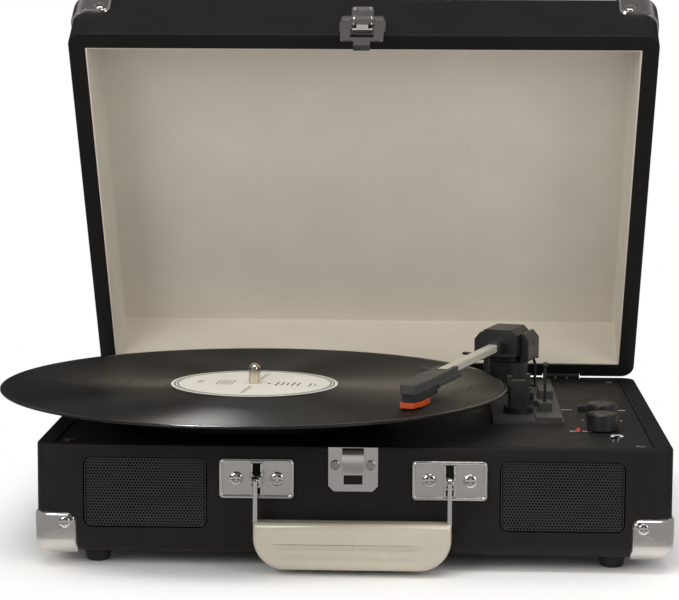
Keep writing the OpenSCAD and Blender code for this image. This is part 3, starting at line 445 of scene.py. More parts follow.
# %% [markdown]
# The case and the lid are the same box twice: a rounded block with sharp open edges, hollowed
# out. The CAD box has coarse facets on its rounded edges, so a finer one is built here with the
# same outer size. The covering is wrapped over the open rim, so the rim's edges are soft.

# %% The two halves of the case
CASE_W, CASE_D, BASE_H, LID_H = 0.356, 0.266, 0.062, 0.0475
EDGE_R, FOOT_H = 0.0085, 0.0085
DECK_Z = FOOT_H + BASE_H
RIM_Z = DECK_Z + 0.0008
SIDE, END, FLOOR_T, TOP_T = 0.0102, 0.008, 0.005, 0.0034
HINGE_X, HINGE_HALF, GAP = 0.130, 0.0123, 0.0003
FRONT, BACK = -CASE_D / 2, CASE_D / 2


def block(low, high):
    """A sharp box between two corners."""
    form = bmesh.new()
    bmesh.ops.create_cube(form, size=1)
    low, high = Vector(low), Vector(high)
    for v in form.verts:
        v.co = Vector([(low[i] + high[i]) / 2 + v.co[i] * (high[i] - low[i]) for i in range(3)])
    return form


def case_block(height, grow=0.0, rounds=9):
    """The case's outer shape: rounded upright edges, and one rounded end, at z = 0."""
    form = block((-CASE_W / 2 - grow, FRONT - grow, -grow), (CASE_W / 2 + grow, BACK + grow, height))
    chosen = [e for e in form.edges if any(v.co.z < height - 1e-6 for v in e.verts)]
    bmesh.ops.bevel(form, geom=chosen, offset=EDGE_R + grow, segments=rounds, profile=0.5,
                    affect="EDGES")
    return form


def flat_tool(width, height, corner, depth, at, rounds=8):
    """A rounded rectangle in the upright plane, from at backwards over depth."""
    form = block((-width / 2, 0, -height / 2), (width / 2, depth, height / 2))
    upright = [e for e in form.edges if abs(e.verts[0].co.y - e.verts[1].co.y) > 1e-6]
    bmesh.ops.bevel(form, geom=upright, offset=corner, segments=rounds, profile=0.5, affect="EDGES")
    form.transform(Matrix.Translation(at))
    return form


def tool_of(form):
    return piece_from("tool", mesh_from("tool", form), covering, smooth=0)


base = case_block(BASE_H)
base.transform(Matrix.Translation((0, 0, FOOT_H)))
base = piece_from("base_covered", mesh_from("base_covered", base), covering)
inner = Vector((CASE_W / 2 - SIDE, CASE_D / 2 - END, 0))
carve(base, tool_of(block((-inner.x, -inner.y, FOOT_H + FLOOR_T), (inner.x, inner.y, DECK_Z + 0.01))))
jack_low, jack_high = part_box("jack_panel")
carve(base, tool_of(block(jack_low + Vector((-GAP, 0, -GAP)), jack_high + Vector((GAP, 0.01, GAP)))))
carve(base, tool_of(block(jack_low + Vector((0.006, -0.02, 0.005)),
                          jack_high + Vector((-0.006, 0.01, -0.005)))))
leaf_low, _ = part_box("hinge_base_leaves")
for side in (-1, 1):
    carve(base, tool_of(block((side * HINGE_X - HINGE_HALF, leaf_low.y - GAP, leaf_low.z - GAP),
                              (side * HINGE_X + HINGE_HALF, BACK + 0.01, DECK_Z + 0.01))))
FOLD_R = 0.0009
ease_edges(base, FOLD_R, 3, 50)
GRILLE_X, GRILLE_Z, GRILLE_W, GRILLE_H = 0.1165, DECK_Z - 0.0272, 0.0686, 0.0388
RECESS_GAP, RECESS_R = 0.0012, 0.0050
for side in (-1, 1):
    carve(base, tool_of(flat_tool(GRILLE_W + RECESS_GAP, GRILLE_H + RECESS_GAP, RECESS_R, 0.02,
                                  Vector((side * GRILLE_X, FRONT - 0.002, GRILLE_Z)))))
shade(base.data)
stands_for(base, "base_tray")
print("base faces", len(base.data.polygons))

flip = Matrix.Translation((0, 0, RIM_Z + LID_H)) @ Matrix.Diagonal((1, 1, -1, 1))
lid = case_block(LID_H)
lid.transform(flip)
bmesh.ops.recalc_face_normals(lid, faces=lid.faces)
lid = piece_from("lid_covered", mesh_from("lid_covered", lid), covering)
deep = Vector((CASE_W / 2 - SIDE, CASE_D / 2 - SIDE, 0))
carve(lid, tool_of(block((-deep.x, -deep.y, RIM_Z - 0.01), (deep.x, deep.y, RIM_Z + LID_H - TOP_T))))
for side in (-1, 1):
    carve(lid, tool_of(block((side * HINGE_X - HINGE_HALF, BACK - 0.0031, RIM_Z - 0.01),
                             (side * HINGE_X + HINGE_HALF, BACK + 0.01, lid_hinge.z + 0.0026))))
ease_edges(lid, FOLD_R, 3, 50)
lid.data.transform(lid_open)
stands_for(lid, "lid_shell")
print("lid faces", len(lid.data.polygons))

# %% [markdown]
# The lining is a tray of stiff paper glued inside the lid, with soft inner corners.

# %% Lid lining
closed = lid_open.inverted()
corners = [closed @ v.co for v in frame["nodes"]["lid_lining"].data.vertices]
low = Vector([min(c[i] for c in corners) for i in range(3)])
high = Vector([max(c[i] for c in corners) for i in range(3)])
PAPER = 0.0008
tray = piece_from("lining_tray", mesh_from("lining_tray", block(low, high)), lining)
hollow = block((low.x + PAPER, low.y + PAPER, low.z - 0.01),
               (high.x - PAPER, high.y - PAPER, high.z - PAPER))
rounded = [e for e in hollow.edges if max(v.co.z for v in e.verts) > low.z]
bmesh.ops.bevel(hollow, geom=rounded, offset=0.0016, segments=4, profile=0.5, affect="EDGES")
carve(tray, tool_of(hollow))
shade(tray.data)
tray.data.transform(lid_open)
stands_for(tray, "lid_lining")
print("lining", low, high)

# %% [markdown]
# Each corner has a stamped nickel protector: a thin bowl pressed over the corner, with one round
# free corner on each of its three flats and a screw beside it. It is the case's own shape made a
# little larger, cut down to a rounded cube at the corner, with the case taken out of it.

# %% Corner protectors
CAP, CAP_T = 0.024, 0.0014


def corner_protectors(name, height, place, nodes):
    caps = bmesh.new()
    size = CAP + 2 * CAP_T
    for sx in (-1, 1):
        for sy in (-1, 1):
            skin = piece_from("skin", mesh_from("skin", case_block(height, CAP_T, 12)), nickel)
            cube = block((-size / 2,) * 3, (size / 2,) * 3)
            bmesh.ops.bevel(cube, geom=list(cube.edges), offset=0.0062, segments=7, profile=0.5,
                            affect="EDGES")
            cube.transform(Matrix.Translation((sx * (CASE_W / 2 - CAP / 2 + CAP_T),
                                               sy * (BACK - CAP / 2 + CAP_T), CAP / 2 - CAP_T)))
            carve(skin, tool_of(cube), "INTERSECT")
            carve(skin, tool_of(case_block(height + 0.01, 0.00005, 9)))
            add_piece(caps, skin)
    caps.transform(place)
    bmesh.ops.recalc_face_normals(caps, faces=caps.faces)
    return stands_for(piece_from(name, mesh_from(name, caps), nickel, 38), *nodes)


corner_protectors("base_protectors", BASE_H, Matrix.Translation((0, 0, FOOT_H)), ["base_corner_caps"])
corner_protectors("lid_protectors", LID_H, lid_open @ flip, ["lid_corner_caps"])

# %% [markdown]
# Screws are all the same pan head in different sizes, so one head is modelled, and Geometry
# Nodes put a copy on each point of a small carrier mesh, facing the way the point says.

# %% One pan head with a cross recess
def pan_head(name, radius, height, mat, rounds=28):
    form = bmesh.new()
    profile = [(0, height)] + [(radius * math.sin(a), height * (0.35 + 0.65 * math.cos(a)))
                               for a in (math.radians(d) for d in (18, 36, 54, 70, 84))]
    profile += [(radius, height * 0.18), (radius * 0.96, -0.0002), (0, -0.0002)]
    verts = [form.verts.new((r, 0, z)) for r, z in profile]
    edges = [form.edges.new(pair) for pair in zip(verts, verts[1:])]
    bmesh.ops.spin(form, geom=verts + edges, cent=(0, 0, 0), axis=(0, 0, 1), angle=2 * math.pi,
                   steps=rounds)
    bmesh.ops.remove_doubles(form, verts=form.verts, dist=1e-7)
    bmesh.ops.recalc_face_normals(form, faces=form.faces)
    head = piece_from(name, mesh_from(name, form), mat)
    for turn in (0, 90):
        slot = block((-radius * 0.56, -radius * 0.13, height * 0.35),
                     (radius * 0.56, radius * 0.13, height * 2))
        slot.transform(Matrix.Rotation(math.radians(turn), 4, "Z"))
        carve(head, tool_of(slot))
    shade(head.data)
    return head


# %% A tree that puts a copy on every point
def new_tree(name, inputs):
    tree = bpy.data.node_groups.new(name, "GeometryNodeTree")
    tree.interface.new_socket("Geometry", in_out="OUTPUT", socket_type="NodeSocketGeometry")
    for label, kind in inputs:
        tree.interface.new_socket(label, in_out="INPUT", socket_type=kind)
    return tree, tree.nodes.new("NodeGroupInput"), tree.nodes.new("NodeGroupOutput")


def run_tree(obj, tree, **values):
    """Runs a tree on an object with these inputs, and keeps the result as a plain mesh."""
    made = obj.modifiers.new(tree.name, "NODES")
    made.node_group = tree
    sockets = {s.name.replace(" ", "_"): s.identifier
               for s in tree.interface.items_tree if s.in_out == "INPUT"}
    for label, value in values.items():
        made[sockets[label]] = value
    return applied(obj)


copies, given, result = new_tree("copy_on_points", [
    ("Geometry", "NodeSocketGeometry"), ("Copy", "NodeSocketObject"), ("Finish", "NodeSocketMaterial")])
info = copies.nodes.new("GeometryNodeObjectInfo")
facing = copies.nodes.new("GeometryNodeInputNamedAttribute")
facing.data_type = "FLOAT_VECTOR"
facing.inputs["Name"].default_value = "facing"
align = copies.nodes.new("FunctionNodeAlignRotationToVector")
align.axis = "Z"
on_points = copies.nodes.new("GeometryNodeInstanceOnPoints")
realize = copies.nodes.new("GeometryNodeRealizeInstances")
paint = copies.nodes.new("GeometryNodeSetMaterial")
wire = copies.links.new
wire(given.outputs["Geometry"], on_points.inputs["Points"])
wire(given.outputs["Copy"], info.inputs[0])
wire(info.outputs["Geometry"], on_points.inputs["Instance"])
wire(facing.outputs["Attribute"], align.inputs["Vector"])
wire(align.outputs[0], on_points.inputs["Rotation"])
wire(on_points.outputs[0], realize.inputs[0])
wire(realize.outputs[0], paint.inputs[0])
wire(given.outputs["Finish"], paint.inputs["Material"])
wire(paint.outputs[0], result.inputs[0])


def copies_at(name, head, places, mat, smooth=40):
    """One mesh with a copy of head at each place, a pair of point and direction."""
    mesh = bpy.data.meshes.new(name)
    mesh.from_pydata([p for p, _ in places], [], [])
    way = mesh.attributes.new("facing", "FLOAT_VECTOR", "POINT")
    for i, (_, direction) in enumerate(places):
        way.data[i].vector = direction
    obj = bpy.data.objects.new(name, mesh)
    bpy.context.scene.collection.objects.link(obj)
    run_tree(obj, copies, Copy=head, Finish=mat)
    shade(obj.data, smooth)
    return obj


# %% Screws of the case, the lid and the deck
cap_x, cap_z = CASE_W / 2 - CAP + 0.0076, CAP - 0.0064
four_corners = [(x, y) for x in (-1, 1) for y in (-1, 1)]
front_back = [(Vector((x * cap_x, y * (BACK + CAP_T), cap_z)), Vector((0, y, 0)))
              for x, y in four_corners]
small_head = pan_head("small_head", 0.0031, 0.0011, bright_nickel)
large_head = pan_head("large_head", 0.0039, 0.0019, bright_nickel)
dark_head = pan_head("dark_head", 0.0031, 0.0009, black_screw)
lift = Matrix.Translation((0, 0, FOOT_H))
bracket_x, bracket_z, PLATE_T = 0.0538, DECK_Z - 0.0182, 0.0013
case_places = [(lift @ p, d) for p, d in front_back]
handle_places = [(Vector((s * bracket_x + k * 0.0114, FRONT - PLATE_T, bracket_z)), Vector((0, -1, 0)))
                 for s in (-1, 1) for k in (-1, 1)]
small = copies_at("protector_screws", small_head, case_places, bright_nickel)
large = copies_at("bracket_screws", large_head, handle_places, bright_nickel)
stands_for(small, "case_screws")
stands_for(large, "case_screws")
turned = lid_open.to_3x3()
lid_screws = copies_at("lid_protector_screws", small_head,
                       [(lid_open @ (flip @ p), turned @ d) for p, d in front_back], bright_nickel)
stands_for(lid_screws, "lid_cap_screws")
deck_places = [(Vector((x * (CASE_W / 2 - 0.017), y * (BACK - 0.0155), DECK_Z - 0.001)),
                Vector((0, 0, 1))) for x, y in four_corners]
deck_screws = copies_at("deck_screws", dark_head, deck_places, black_screw)
stands_for(deck_screws, "board_screws")
for head in (small_head, large_head, dark_head):
    bpy.data.objects.remove(head)

# %% [markdown]
# A loudspeaker grille is a thin steel sheet with round holes on a triangular pitch, pressed into
# a recess. One cell of the sheet is a hexagon with a hole, and Geometry Nodes lay the cells out
# in rows, with every second row moved by half a pitch. A narrow folded border closes the edge.

# %% Perforated grilles
def hole_cell(pitch, hole, thick):
    """A hexagonal cell of sheet with a round hole: the front, and the wall of the hole."""
    form = bmesh.new()
    flat = pitch / 2 / math.cos(math.radians(30))
    rings = []
    for radius, y in ((None, 0), (hole, 0), (hole, thick)):
        ring = []
        for i in range(12):
            a = math.radians(30 * i)
            if radius is None:
                corner = flat if i % 2 else flat * math.cos(math.radians(30))
                ring.append(form.verts.new((corner * math.cos(a), y, corner * math.sin(a))))
            else:
                ring.append(form.verts.new((radius * math.cos(a), y, radius * math.sin(a))))
        rings.append(ring)
    for near, far in zip(rings, rings[1:]):
        for i in range(12):
            form.faces.new((near[i], near[(i + 1) % 12], far[(i + 1) % 12], far[i]))
    bmesh.ops.recalc_face_normals(form, faces=form.faces)
    if sum(f.normal.y for f in form.faces) > 0:
        bmesh.ops.reverse_faces(form, faces=form.faces)
    return piece_from("cell", mesh_from("cell", form), grille_black, 0)


sheet_tree, given, result = new_tree("perforated_sheet", [
    ("Geometry", "NodeSocketGeometry"), ("Cell", "NodeSocketObject"), ("Pitch", "NodeSocketFloat"),
    ("Columns", "NodeSocketInt"), ("Rows", "NodeSocketInt"), ("Half width", "NodeSocketFloat"),
    ("Half height", "NodeSocketFloat"), ("Finish", "NodeSocketMaterial")])


def maths(how, a, b=0):
    """A Math node in the sheet's tree, between two sockets or numbers."""
    made = add_node(sheet_tree, "ShaderNodeMath", operation=how)
    for i, value in enumerate((a, b)):
        if isinstance(value, (int, float)):
            made.inputs[i].default_value = value
        else:
            sheet_tree.links.new(value, made.inputs[i])
    return made.outputs[0]


wire = sheet_tree.links.new
columns, rows, pitch = (given.outputs[name] for name in ("Columns", "Rows", "Pitch"))
line = add_node(sheet_tree, "GeometryNodeMeshLine", mode="OFFSET")
wire(maths("MULTIPLY", columns, rows), line.inputs["Count"])
index = add_node(sheet_tree, "GeometryNodeInputIndex").outputs[0]
column = maths("MODULO", index, columns)
row = maths("FLOOR", maths("DIVIDE", index, columns))
odd = maths("MULTIPLY", maths("MODULO", row, 2), 0.5)
across = maths("SUBTRACT", maths("ADD", column, odd), maths("MULTIPLY", columns, 0.5))
along = maths("SUBTRACT", row, maths("MULTIPLY", rows, 0.5))
x_place = maths("MULTIPLY", across, pitch)
z_place = maths("MULTIPLY", maths("MULTIPLY", along, math.cos(math.radians(30))), pitch)
join_xyz = add_node(sheet_tree, "ShaderNodeCombineXYZ")
wire(x_place, join_xyz.inputs[0])
wire(z_place, join_xyz.inputs[2])
set_place = add_node(sheet_tree, "GeometryNodeSetPosition")
wire(line.outputs[0], set_place.inputs[0])
wire(join_xyz.outputs[0], set_place.inputs["Position"])
inside = maths("MULTIPLY", *(maths("LESS_THAN", maths("ABSOLUTE", place), given.outputs[half])
                             for place, half in ((x_place, "Half width"), (z_place, "Half height"))))
lay = add_node(sheet_tree, "GeometryNodeInstanceOnPoints")
cell_info = add_node(sheet_tree, "GeometryNodeObjectInfo")
wire(given.outputs["Cell"], cell_info.inputs[0])
wire(set_place.outputs[0], lay.inputs["Points"])
wire(inside, lay.inputs["Selection"])
wire(cell_info.outputs["Geometry"], lay.inputs["Instance"])
solid = add_node(sheet_tree, "GeometryNodeRealizeInstances")
weld = add_node(sheet_tree, "GeometryNodeMergeByDistance")
weld.inputs["Distance"].default_value = 0.00001
coat = add_node(sheet_tree, "GeometryNodeSetMaterial")
for near, far in ((lay, solid), (solid, weld), (weld, coat), (coat, result)):
    wire(near.outputs[0], far.inputs[0])
wire(given.outputs["Finish"], coat.inputs["Material"])

PITCH = 0.00183
SHEET_HOLE_R, SHEET_T, BORDER_W, BORDER_R = 0.00056, 0.0009, 0.0007, 0.0045
cell = hole_cell(PITCH, SHEET_HOLE_R, SHEET_T)
for side, node_name in ((-1, "grille_left"), (1, "grille_right")):
    low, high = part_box(node_name)
    middle = (low + high) / 2
    sheet = bpy.data.objects.new("sheet", bpy.data.meshes.new("sheet"))
    bpy.context.scene.collection.objects.link(sheet)
    run_tree(sheet, sheet_tree, Cell=cell, Pitch=PITCH, Columns=38, Rows=25,
             Half_width=GRILLE_W / 2 - 0.0011, Half_height=GRILLE_H / 2 - 0.0011, Finish=grille_black)
    sheet.data.transform(Matrix.Translation((middle.x, low.y + 0.0002, middle.z)))
    outer = flat_tool(GRILLE_W, GRILLE_H, BORDER_R, SHEET_T, Vector((middle.x, low.y, middle.z)))
    border = piece_from("border", mesh_from("border", outer), grille_black)
    carve(border, tool_of(flat_tool(GRILLE_W - 2 * BORDER_W, GRILLE_H - 2 * BORDER_W,
                                    BORDER_R - BORDER_W, 0.01,
                                    Vector((middle.x, low.y - 0.005, middle.z)))))
    ease_edges(border, 0.0002, 2, 45)
    both = bmesh.new()
    add_piece(both, sheet)
    add_piece(both, border)
    grille = piece_from(node_name + "_perforated", mesh_from(node_name, both), grille_black, 35)
    stands_for(grille, node_name)
    print(node_name, "faces", len(grille.data.polygons))
bpy.data.objects.remove(cell)

# %% [markdown]
# The record is turned from one profile: a raised bead round the edge, the band of grooves, the
# smooth run-out and the label's shallow recess. Its grooves are far too fine to model. They show
# as a shine that fans out from the middle, which an anisotropic gloss along the groove gives, so
# the mesh carries a UV map whose first axis runs round the record.

# %% Record
vinyl = finish("pressed_vinyl", Specular_IOR_Level=0.45, Anisotropic=1.0, Anisotropic_Rotation=0.25,
               Base_Color=(0.005, 0.0046, 0.0048, 1))
tree = vinyl.node_tree
uv = tree.nodes.new("ShaderNodeUVMap")
uv.uv_map = "around"
tangent = tree.nodes.new("ShaderNodeTangent")
tangent.direction_type, tangent.uv_map = "UV_MAP", "around"
tree.links.new(tangent.outputs[0], tree.nodes["Principled BSDF"].inputs["Tangent"])
parts = tree.nodes.new("ShaderNodeSeparateXYZ")
tree.links.new(uv.outputs[0], parts.inputs[0])


def ring_noise(scale, detail, rough=0.5):
    """Noise that changes only along the radius, so that it lies in rings."""
    noise = add_node(tree, "ShaderNodeTexNoise", noise_dimensions="1D")
    for label, value in (("Scale", scale), ("Detail", detail), ("Roughness", rough)):
        noise.inputs[label].default_value = value
    tree.links.new(parts.outputs[1], noise.inputs["W"])
    return noise.outputs[0]


tree.links.new(ramp_of(vinyl, ring_noise(90, 8, 0.75), [(0.35, 0.36), (0.65, 0.46)]),
               tree.nodes["Principled BSDF"].inputs["Roughness"])
grain(vinyl, ring_noise(700, 3), 0.00002)

spindle_at = joint_at["platter_spin"]
record_low, record_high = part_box("record")
RECORD_R = (record_high.x - record_low.x) / 2
HOLE_R = 0.00362


def turned_piece(name, profile, centre, mat, rounds=256, smooth=30):
    """A closed profile of radius and height turned about the upright line through centre, with a
    UV map that runs round it and along the radius."""
    form = bmesh.new()
    layer = form.loops.layers.uv.new("around")
    turns = [2 * math.pi * i / rounds for i in range(rounds)]
    rings = [[form.verts.new((centre.x + r * math.cos(a), centre.y + r * math.sin(a), z)) for a in turns]
             for r, z in profile]
    for k in range(len(profile)):
        a, b = rings[k], rings[(k + 1) % len(rings)]
        for i in range(rounds):
            j = (i + 1) % rounds
            face = form.faces.new((a[i], b[i], b[j], a[j]))
            for loop, (u, ring) in zip(face.loops, ((i, k), (i, k + 1), (i + 1, k + 1), (i + 1, k))):
                loop[layer].uv = (u / rounds, profile[ring % len(profile)][0] / 0.16)
    bmesh.ops.recalc_face_normals(form, faces=form.faces)
    return piece_from(name, mesh_from(name, form), mat, smooth)


top, low_z = record_high.z, record_low.z
record_profile = [
    (HOLE_R, low_z + 0.0002), (0.0500, low_z), (0.148, low_z), (RECORD_R - 0.0006, low_z + 0.0002),
    (RECORD_R, low_z + 0.0008), (RECORD_R, top - 0.0006), (RECORD_R - 0.0004, top - 0.0001),
    (RECORD_R - 0.0012, top), (RECORD_R - 0.0024, top - 0.0002), (RECORD_R - 0.0044, top - 0.0003),
    (0.0600, top - 0.0003), (0.0585, top - 0.00045), (0.0525, top - 0.00045),
    (0.0508, top - 0.0001), (0.0502, top - 0.0002), (HOLE_R, top - 0.0002)]
record = turned_piece("record_pressed", record_profile, spindle_at, vinyl)
stands_for(record, "record")
rim_gloss = finish("record_rim", Specular_IOR_Level=0.9, Base_Color=(0.006, 0.006, 0.006, 1))
wander_gloss(rim_gloss, 0.08, 0.14)
bead_profile = [
    (RECORD_R - 0.0032, top - 0.0004), (RECORD_R - 0.0001, top - 0.0007), (RECORD_R, top - 0.0004),
    (RECORD_R - 0.0006, top - 0.00001), (RECORD_R - 0.0014, top), (RECORD_R - 0.0026, top - 0.00015)]
bead = turned_piece("record_bead", bead_profile, spindle_at, rim_gloss, 256, 60)
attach(bead, "turntable")
only_record = bpy.data.collections.new("lit_from_behind")
for lit in (record, bead):
    only_record.objects.link(lit)
groove_light.light_linking.receiver_collection = only_record

# %% [markdown]
# The label is cream paper with fine rings near its edge. A real label carries names, so this one
# has only plain strokes, a small frame and a centre line, as thin print on the paper.

# %% Record label
paper = finish("label_paper", Specular_IOR_Level=0.2)
wander_colour(paper, (0.62, 0.6, 0.53), (0.67, 0.65, 0.58), 30)
wander_gloss(paper, 0.55, 0.7)
label_low, label_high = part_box("record_label")
LABEL_R = (label_high.x - label_low.x) / 2
label_top = label_high.z - 0.00002
PAPER_T, PAPER_HOLE_R, PRINT_T = 0.00015, 0.00364, 0.00003
label_profile = [(PAPER_HOLE_R, label_top - PAPER_T), (LABEL_R, label_top - PAPER_T),
                 (LABEL_R, label_top), (PAPER_HOLE_R, label_top)]
label = turned_piece("label_disc", label_profile, spindle_at, paper, 96)
stands_for(label, "record_label")
ink = moulded("label_ink", (0.012, 0.012, 0.012), (0.025, 0.025, 0.025), 0.6, 0.7)
print_turn = (Matrix.Translation((spindle_at.x, spindle_at.y, label_high.z))
              @ Matrix.Rotation(math.radians(-8), 4, "Z"))


def strokes(name, boxes, mat, place, high=PRINT_T):
    """Flat printed strokes, each given as centre x, centre y, width and depth in millimetres."""
    form = bmesh.new()
    for x, y, w, d in boxes:
        add_form(form, block(((x - w / 2) * MM, (y - d / 2) * MM, 0),
                             ((x + w / 2) * MM, (y + d / 2) * MM, high)))
    form.transform(place)
    return piece_from(name, mesh_from(name, form), mat, 0)


label_boxes = [(-22 + s, 0, 0.5, 15) for s in (0, 9)] + [(-17.5, t, 9, 0.5) for t in (-7.5, 7.5)]
label_boxes += [(-17.5 + s, 0, 0.5, 11) for s in (-2, 0, 2)]
label_boxes += [(-33, t, 3.4, 0.7) for t in (-4, -1.5, 1, 3.5)]
label_boxes += [(0, t, 0.5, 26) for t in (-25, 25)] + [(1.4, t, 0.3, 26) for t in (-25, 25)]
label_boxes += [(14 + 3.2 * s, 0.8 * (s % 2), 0.9, 13 - (s % 3) * 2.5) for s in range(5)]
label_boxes += [(9, 0, 1.6, 3), (34, 0, 0.8, 12), (37, 0, 0.6, 8)]
printed = strokes("label_print", label_boxes, ink, print_turn)
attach(printed, "turntable")
RING_W = 0.0007
for k, r in enumerate((0.0455, 0.0473)):
    inked = [(x, label_high.z + z)
             for x, z in ((r, 0), (r + RING_W, 0), (r + RING_W, PRINT_T), (r, PRINT_T))]
    ring = turned_piece("label_ring_%d" % k, inked, spindle_at, ink, 96, 0)
    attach(ring, "turntable")

# %% [markdown]
# The handle's grip is one glossy cream moulding, straight along the top, with two large round
# lower corners and well rounded edges that carry long highlights.

# %% Handle grip
grip_low, grip_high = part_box("handle_grip")
size = grip_high - grip_low
corner, GRIP_EDGE_R = 0.018, 0.0042
outline = [(0, size.z), (0, corner)]
outline += [(corner - corner * math.cos(a), corner - corner * math.sin(a)) for a in
            (math.radians(7.5 * i) for i in range(1, 12))]
outline += [(corner, 0)]
outline += [(size.x - x, z) for x, z in reversed(outline)]
tree = cream.node_tree
axes = tree.nodes.new("ShaderNodeSeparateXYZ")
tree.links.new(place_nodes(cream, 1.0), axes.inputs[0])
ridges = ramp_of(cream, spread(tree, axes.outputs[2], grip_low.z, grip_high.z),
                 [(0.24, 0.0), (0.31, 0.4), (0.33, 0.0), (0.44, 0.0), (0.55, 1.0), (0.57, 0.0)])
ends = ramp_of(cream, spread(tree, axes.outputs[0], grip_low.x, grip_high.x),
               [(0.07, 0.0), (0.16, 1.0), (0.8, 1.0), (0.88, 0.0)])
raised = add_node(tree, "ShaderNodeMath", operation="MULTIPLY")
tree.links.new(ridges, raised.inputs[0])
tree.links.new(ends, raised.inputs[1])
grain(cream, raised.outputs[0], 0.0012)
form = bmesh.new()
front = [form.verts.new((grip_low.x + x, grip_low.y, grip_low.z + z)) for x, z in outline]
face = form.faces.new(front)
moved = bmesh.ops.extrude_face_region(form, geom=[face])["geom"]
back = [v for v in moved if isinstance(v, bmesh.types.BMVert)]
bmesh.ops.translate(form, verts=back, vec=(0, size.y, 0))
bmesh.ops.recalc_face_normals(form, faces=form.faces)
around = [e for e in form.edges if abs(e.verts[0].co.y - e.verts[1].co.y) < 1e-6]
bmesh.ops.bevel(form, geom=around, offset=GRIP_EDGE_R, segments=7, profile=0.55, affect="EDGES",
                clamp_overlap=True)
grip = piece_from("grip_moulding", mesh_from("grip_moulding", form), cream, 50)
stands_for(grip, "handle_grip")

# %% [markdown]
# Stamped plates and moulded arm parts have their edges broken. A copy of each CAD node gets a
# small bevel, which is what makes its edges catch the light.

# %% Edges of the stamped and moulded parts
for name, width in (
        ("handle_brackets", 0.0004), ("handle_straps", 0.0003), ("catch_plate", 0.0005),
        ("latch_plate", 0.0004), ("latch_hasp", 0.00035), ("latch_lever", 0.0004),
        ("arm_head", 0.0006), ("arm_turret", 0.0005), ("arm_pedestal", 0.0005), ("arm_rest", 0.0004),
        ("headshell", 0.0003), ("cartridge", 0.0002), ("stylus_holder", 0.0003), ("arm_tube", 0.0003),
        ("arm_plate", 0.0003), ("volume_knob", 0.0004), ("pitch_knob", 0.0004),
        ("catch_spring", 0.0001), ("rubber_feet", 0.0005)):
    eased_copy(name, width)

# %% [markdown]
# Each bracket has a narrow channel down its middle, where the handle's strap hooks round a staple.
# The channel is not cut: a thin matt black strip on the plate paints the shade inside it.

# %% Bracket rims, painted channel shade and staples
def loop_tube(name, width, height, corner, radius, at, mat, sides=10, rounds=8):
    """A round bead that follows a rounded rectangle in the upright plane."""
    path = []
    for sx, sz, start in ((1, 1, 0), (-1, 1, 90), (-1, -1, 180), (1, -1, 270)):
        for k in range(rounds + 1):
            a = math.radians(start + 90 * k / rounds)
            out = Vector((math.cos(a), 0, math.sin(a)))
            middle = Vector((sx * (width / 2 - corner), 0, sz * (height / 2 - corner)))
            path.append((middle + corner * out, out))
    form = bmesh.new()
    rings = [[form.verts.new(at + p + radius * (out * math.cos(t) + Vector((0, -1, 0)) * math.sin(t)))
              for t in (2 * math.pi * i / sides for i in range(sides))] for p, out in path]
    for k in range(len(rings)):
        near, far = rings[k], rings[(k + 1) % len(rings)]
        for i in range(sides):
            j = (i + 1) % sides
            form.faces.new((near[i], near[j], far[j], far[i]))
    bmesh.ops.recalc_face_normals(form, faces=form.faces)
    return piece_from(name, mesh_from(name, form), mat, 60)


for side in (-1, 1):
    rim = loop_tube("bracket_rim_%d" % (side > 0), 0.0398, 0.0203, 0.0024, 0.00085,
                    Vector((side * bracket_x, FRONT - 0.0016, bracket_z)), bright_nickel)
    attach(rim, "case")

CHANNEL_SHADE_W, CHANNEL_SHADE_H, ROD_X, ROD_H, ROD_R = 7.0, 17.4, 2.75, 17.2, 0.00075
HOOP_R, HOOP_WIRE = 0.0021, 0.0007
for side in (-1, 1):
    x = side * bracket_x
    upright = (Matrix.Translation((x, FRONT - PLATE_T, bracket_z))
               @ Matrix.Rotation(math.radians(90), 4, "X"))
    # A flat matt black strip on the plate paints the shade inside the channel, which is not cut.
    channel_shade = strokes("channel_%d" % (side > 0), [(0, 0, CHANNEL_SHADE_W, CHANNEL_SHADE_H)], matt_black, upright,
                   0.0001)
    bars = bmesh.new()
    for place in (-ROD_X, ROD_X):
        rod = bmesh.new()
        bmesh.ops.create_cone(rod, cap_ends=True, segments=14, radius1=ROD_R, radius2=ROD_R,
                              depth=ROD_H * MM)
        rod.transform(Matrix.Translation((x + place * MM, FRONT - 0.0017, bracket_z)))
        add_form(bars, rod)
    for drop in (-0.0008, -0.0038):
        hoop = bmesh.new()
        wires = [Vector((HOOP_R + HOOP_WIRE * math.cos(b), 0, HOOP_WIRE * math.sin(b)))
                 for b in (math.radians(30 * k) for k in range(12))]
        rings = [[hoop.verts.new(Matrix.Rotation(math.radians(20 * i), 3, "Z") @ w) for w in wires]
                 for i in range(18)]
        for i in range(18):
            near, far = rings[i], rings[(i + 1) % 18]
            for k in range(12):
                hoop.faces.new((near[k], far[k], far[(k + 1) % 12], near[(k + 1) % 12]))
        hoop.transform(Matrix.Translation((x, FRONT - 0.0042, bracket_z + drop)))
        bmesh.ops.recalc_face_normals(hoop, faces=hoop.faces)
        add_form(bars, hoop)
    staple = piece_from("staple_%d" % (side > 0), mesh_from("staple", bars), bright_nickel, 50)
    for part in (channel_shade, staple):
        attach(part, "case")

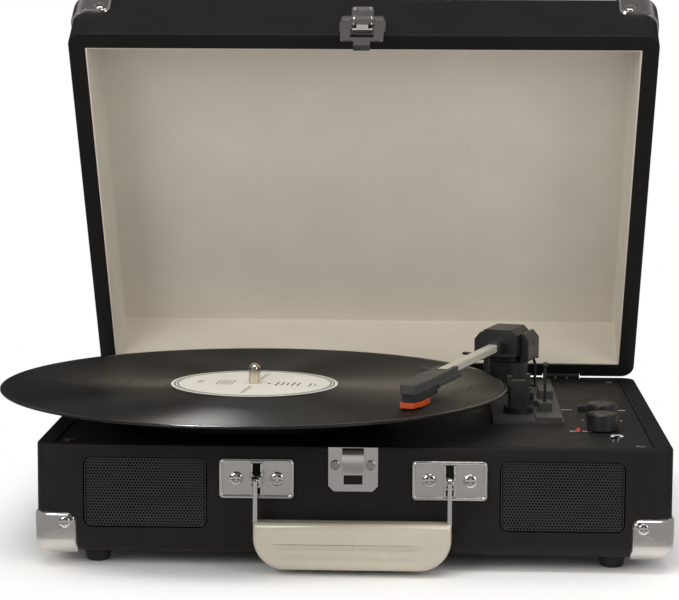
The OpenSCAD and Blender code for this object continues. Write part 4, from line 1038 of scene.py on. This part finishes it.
# %% [markdown]
# The deck carries small white prints beside the controls. They are plain dots and dashes here.

# %% Prints on the deck
deck_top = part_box("motor_board")[1].z
marks = [(x + 1.6 * k, 6, 1.0, 1.6) for x in (126, 159) for k in (-1.5, -0.5, 0.5, 1.5)]
marks += [(130.4 + 1.5 * k, -68.5, 0.9, 1.7) for k in range(-4, 5) if k]
marks += [(134, -31, 1.3, 1.3), (156.5, -31, 1.3, 1.3)]
marks += [(150, -80.5, 6, 2), (147.4, -84, 2, 4), (152.6, -84, 2, 4)]
prints = strokes("deck_prints", marks, white_ink, Matrix.Translation((0, 0, deck_top)), 0.00004)
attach(prints, "case")

# %% [markdown]
# The floor is not part of the object. It fades into the white surroundings with distance.

# %% Floor
floor_mesh = bpy.data.meshes.new("floor")
REACH = 6.0
floor_mesh.from_pydata([(x * REACH, y * REACH, 0) for x, y in ((-1, -1), (1, -1), (1, 1), (-1, 1))],
                       [], [(0, 1, 2, 3)])
pale = finish("pale_floor", Base_Color=(0.9, 0.895, 0.885, 1), Roughness=0.6, Specular_IOR_Level=0.2)
tree = pale.node_tree
coords = tree.nodes.new("ShaderNodeTexCoord")
beside = coords.outputs["Object"]
for how, value in (("ABSOLUTE", None), ("SUBTRACT", (0.165, 0.125, 0)), ("MAXIMUM", (0, 0, 0)),
                   ("LENGTH", None)):
    step = add_node(tree, "ShaderNodeVectorMath", operation=how)
    tree.links.new(beside, step.inputs[0])
    if value is not None:
        step.inputs[1].default_value = value
    beside = step.outputs["Value"] if how == "LENGTH" else step.outputs[0]
FADE_FROM, FADE_TO = 0.01, 0.09
clear = tree.nodes.new("ShaderNodeBsdfTransparent")
mix = tree.nodes.new("ShaderNodeMixShader")
tree.links.new(spread(tree, beside, FADE_FROM, FADE_TO, "SMOOTHSTEP"), mix.inputs[0])
tree.links.new(tree.nodes["Principled BSDF"].outputs[0], mix.inputs[1])
tree.links.new(clear.outputs[0], mix.inputs[2])
tree.links.new(mix.outputs[0], tree.nodes["Material Output"].inputs[0])
floor = piece_from("floor", floor_mesh, pale, 0)
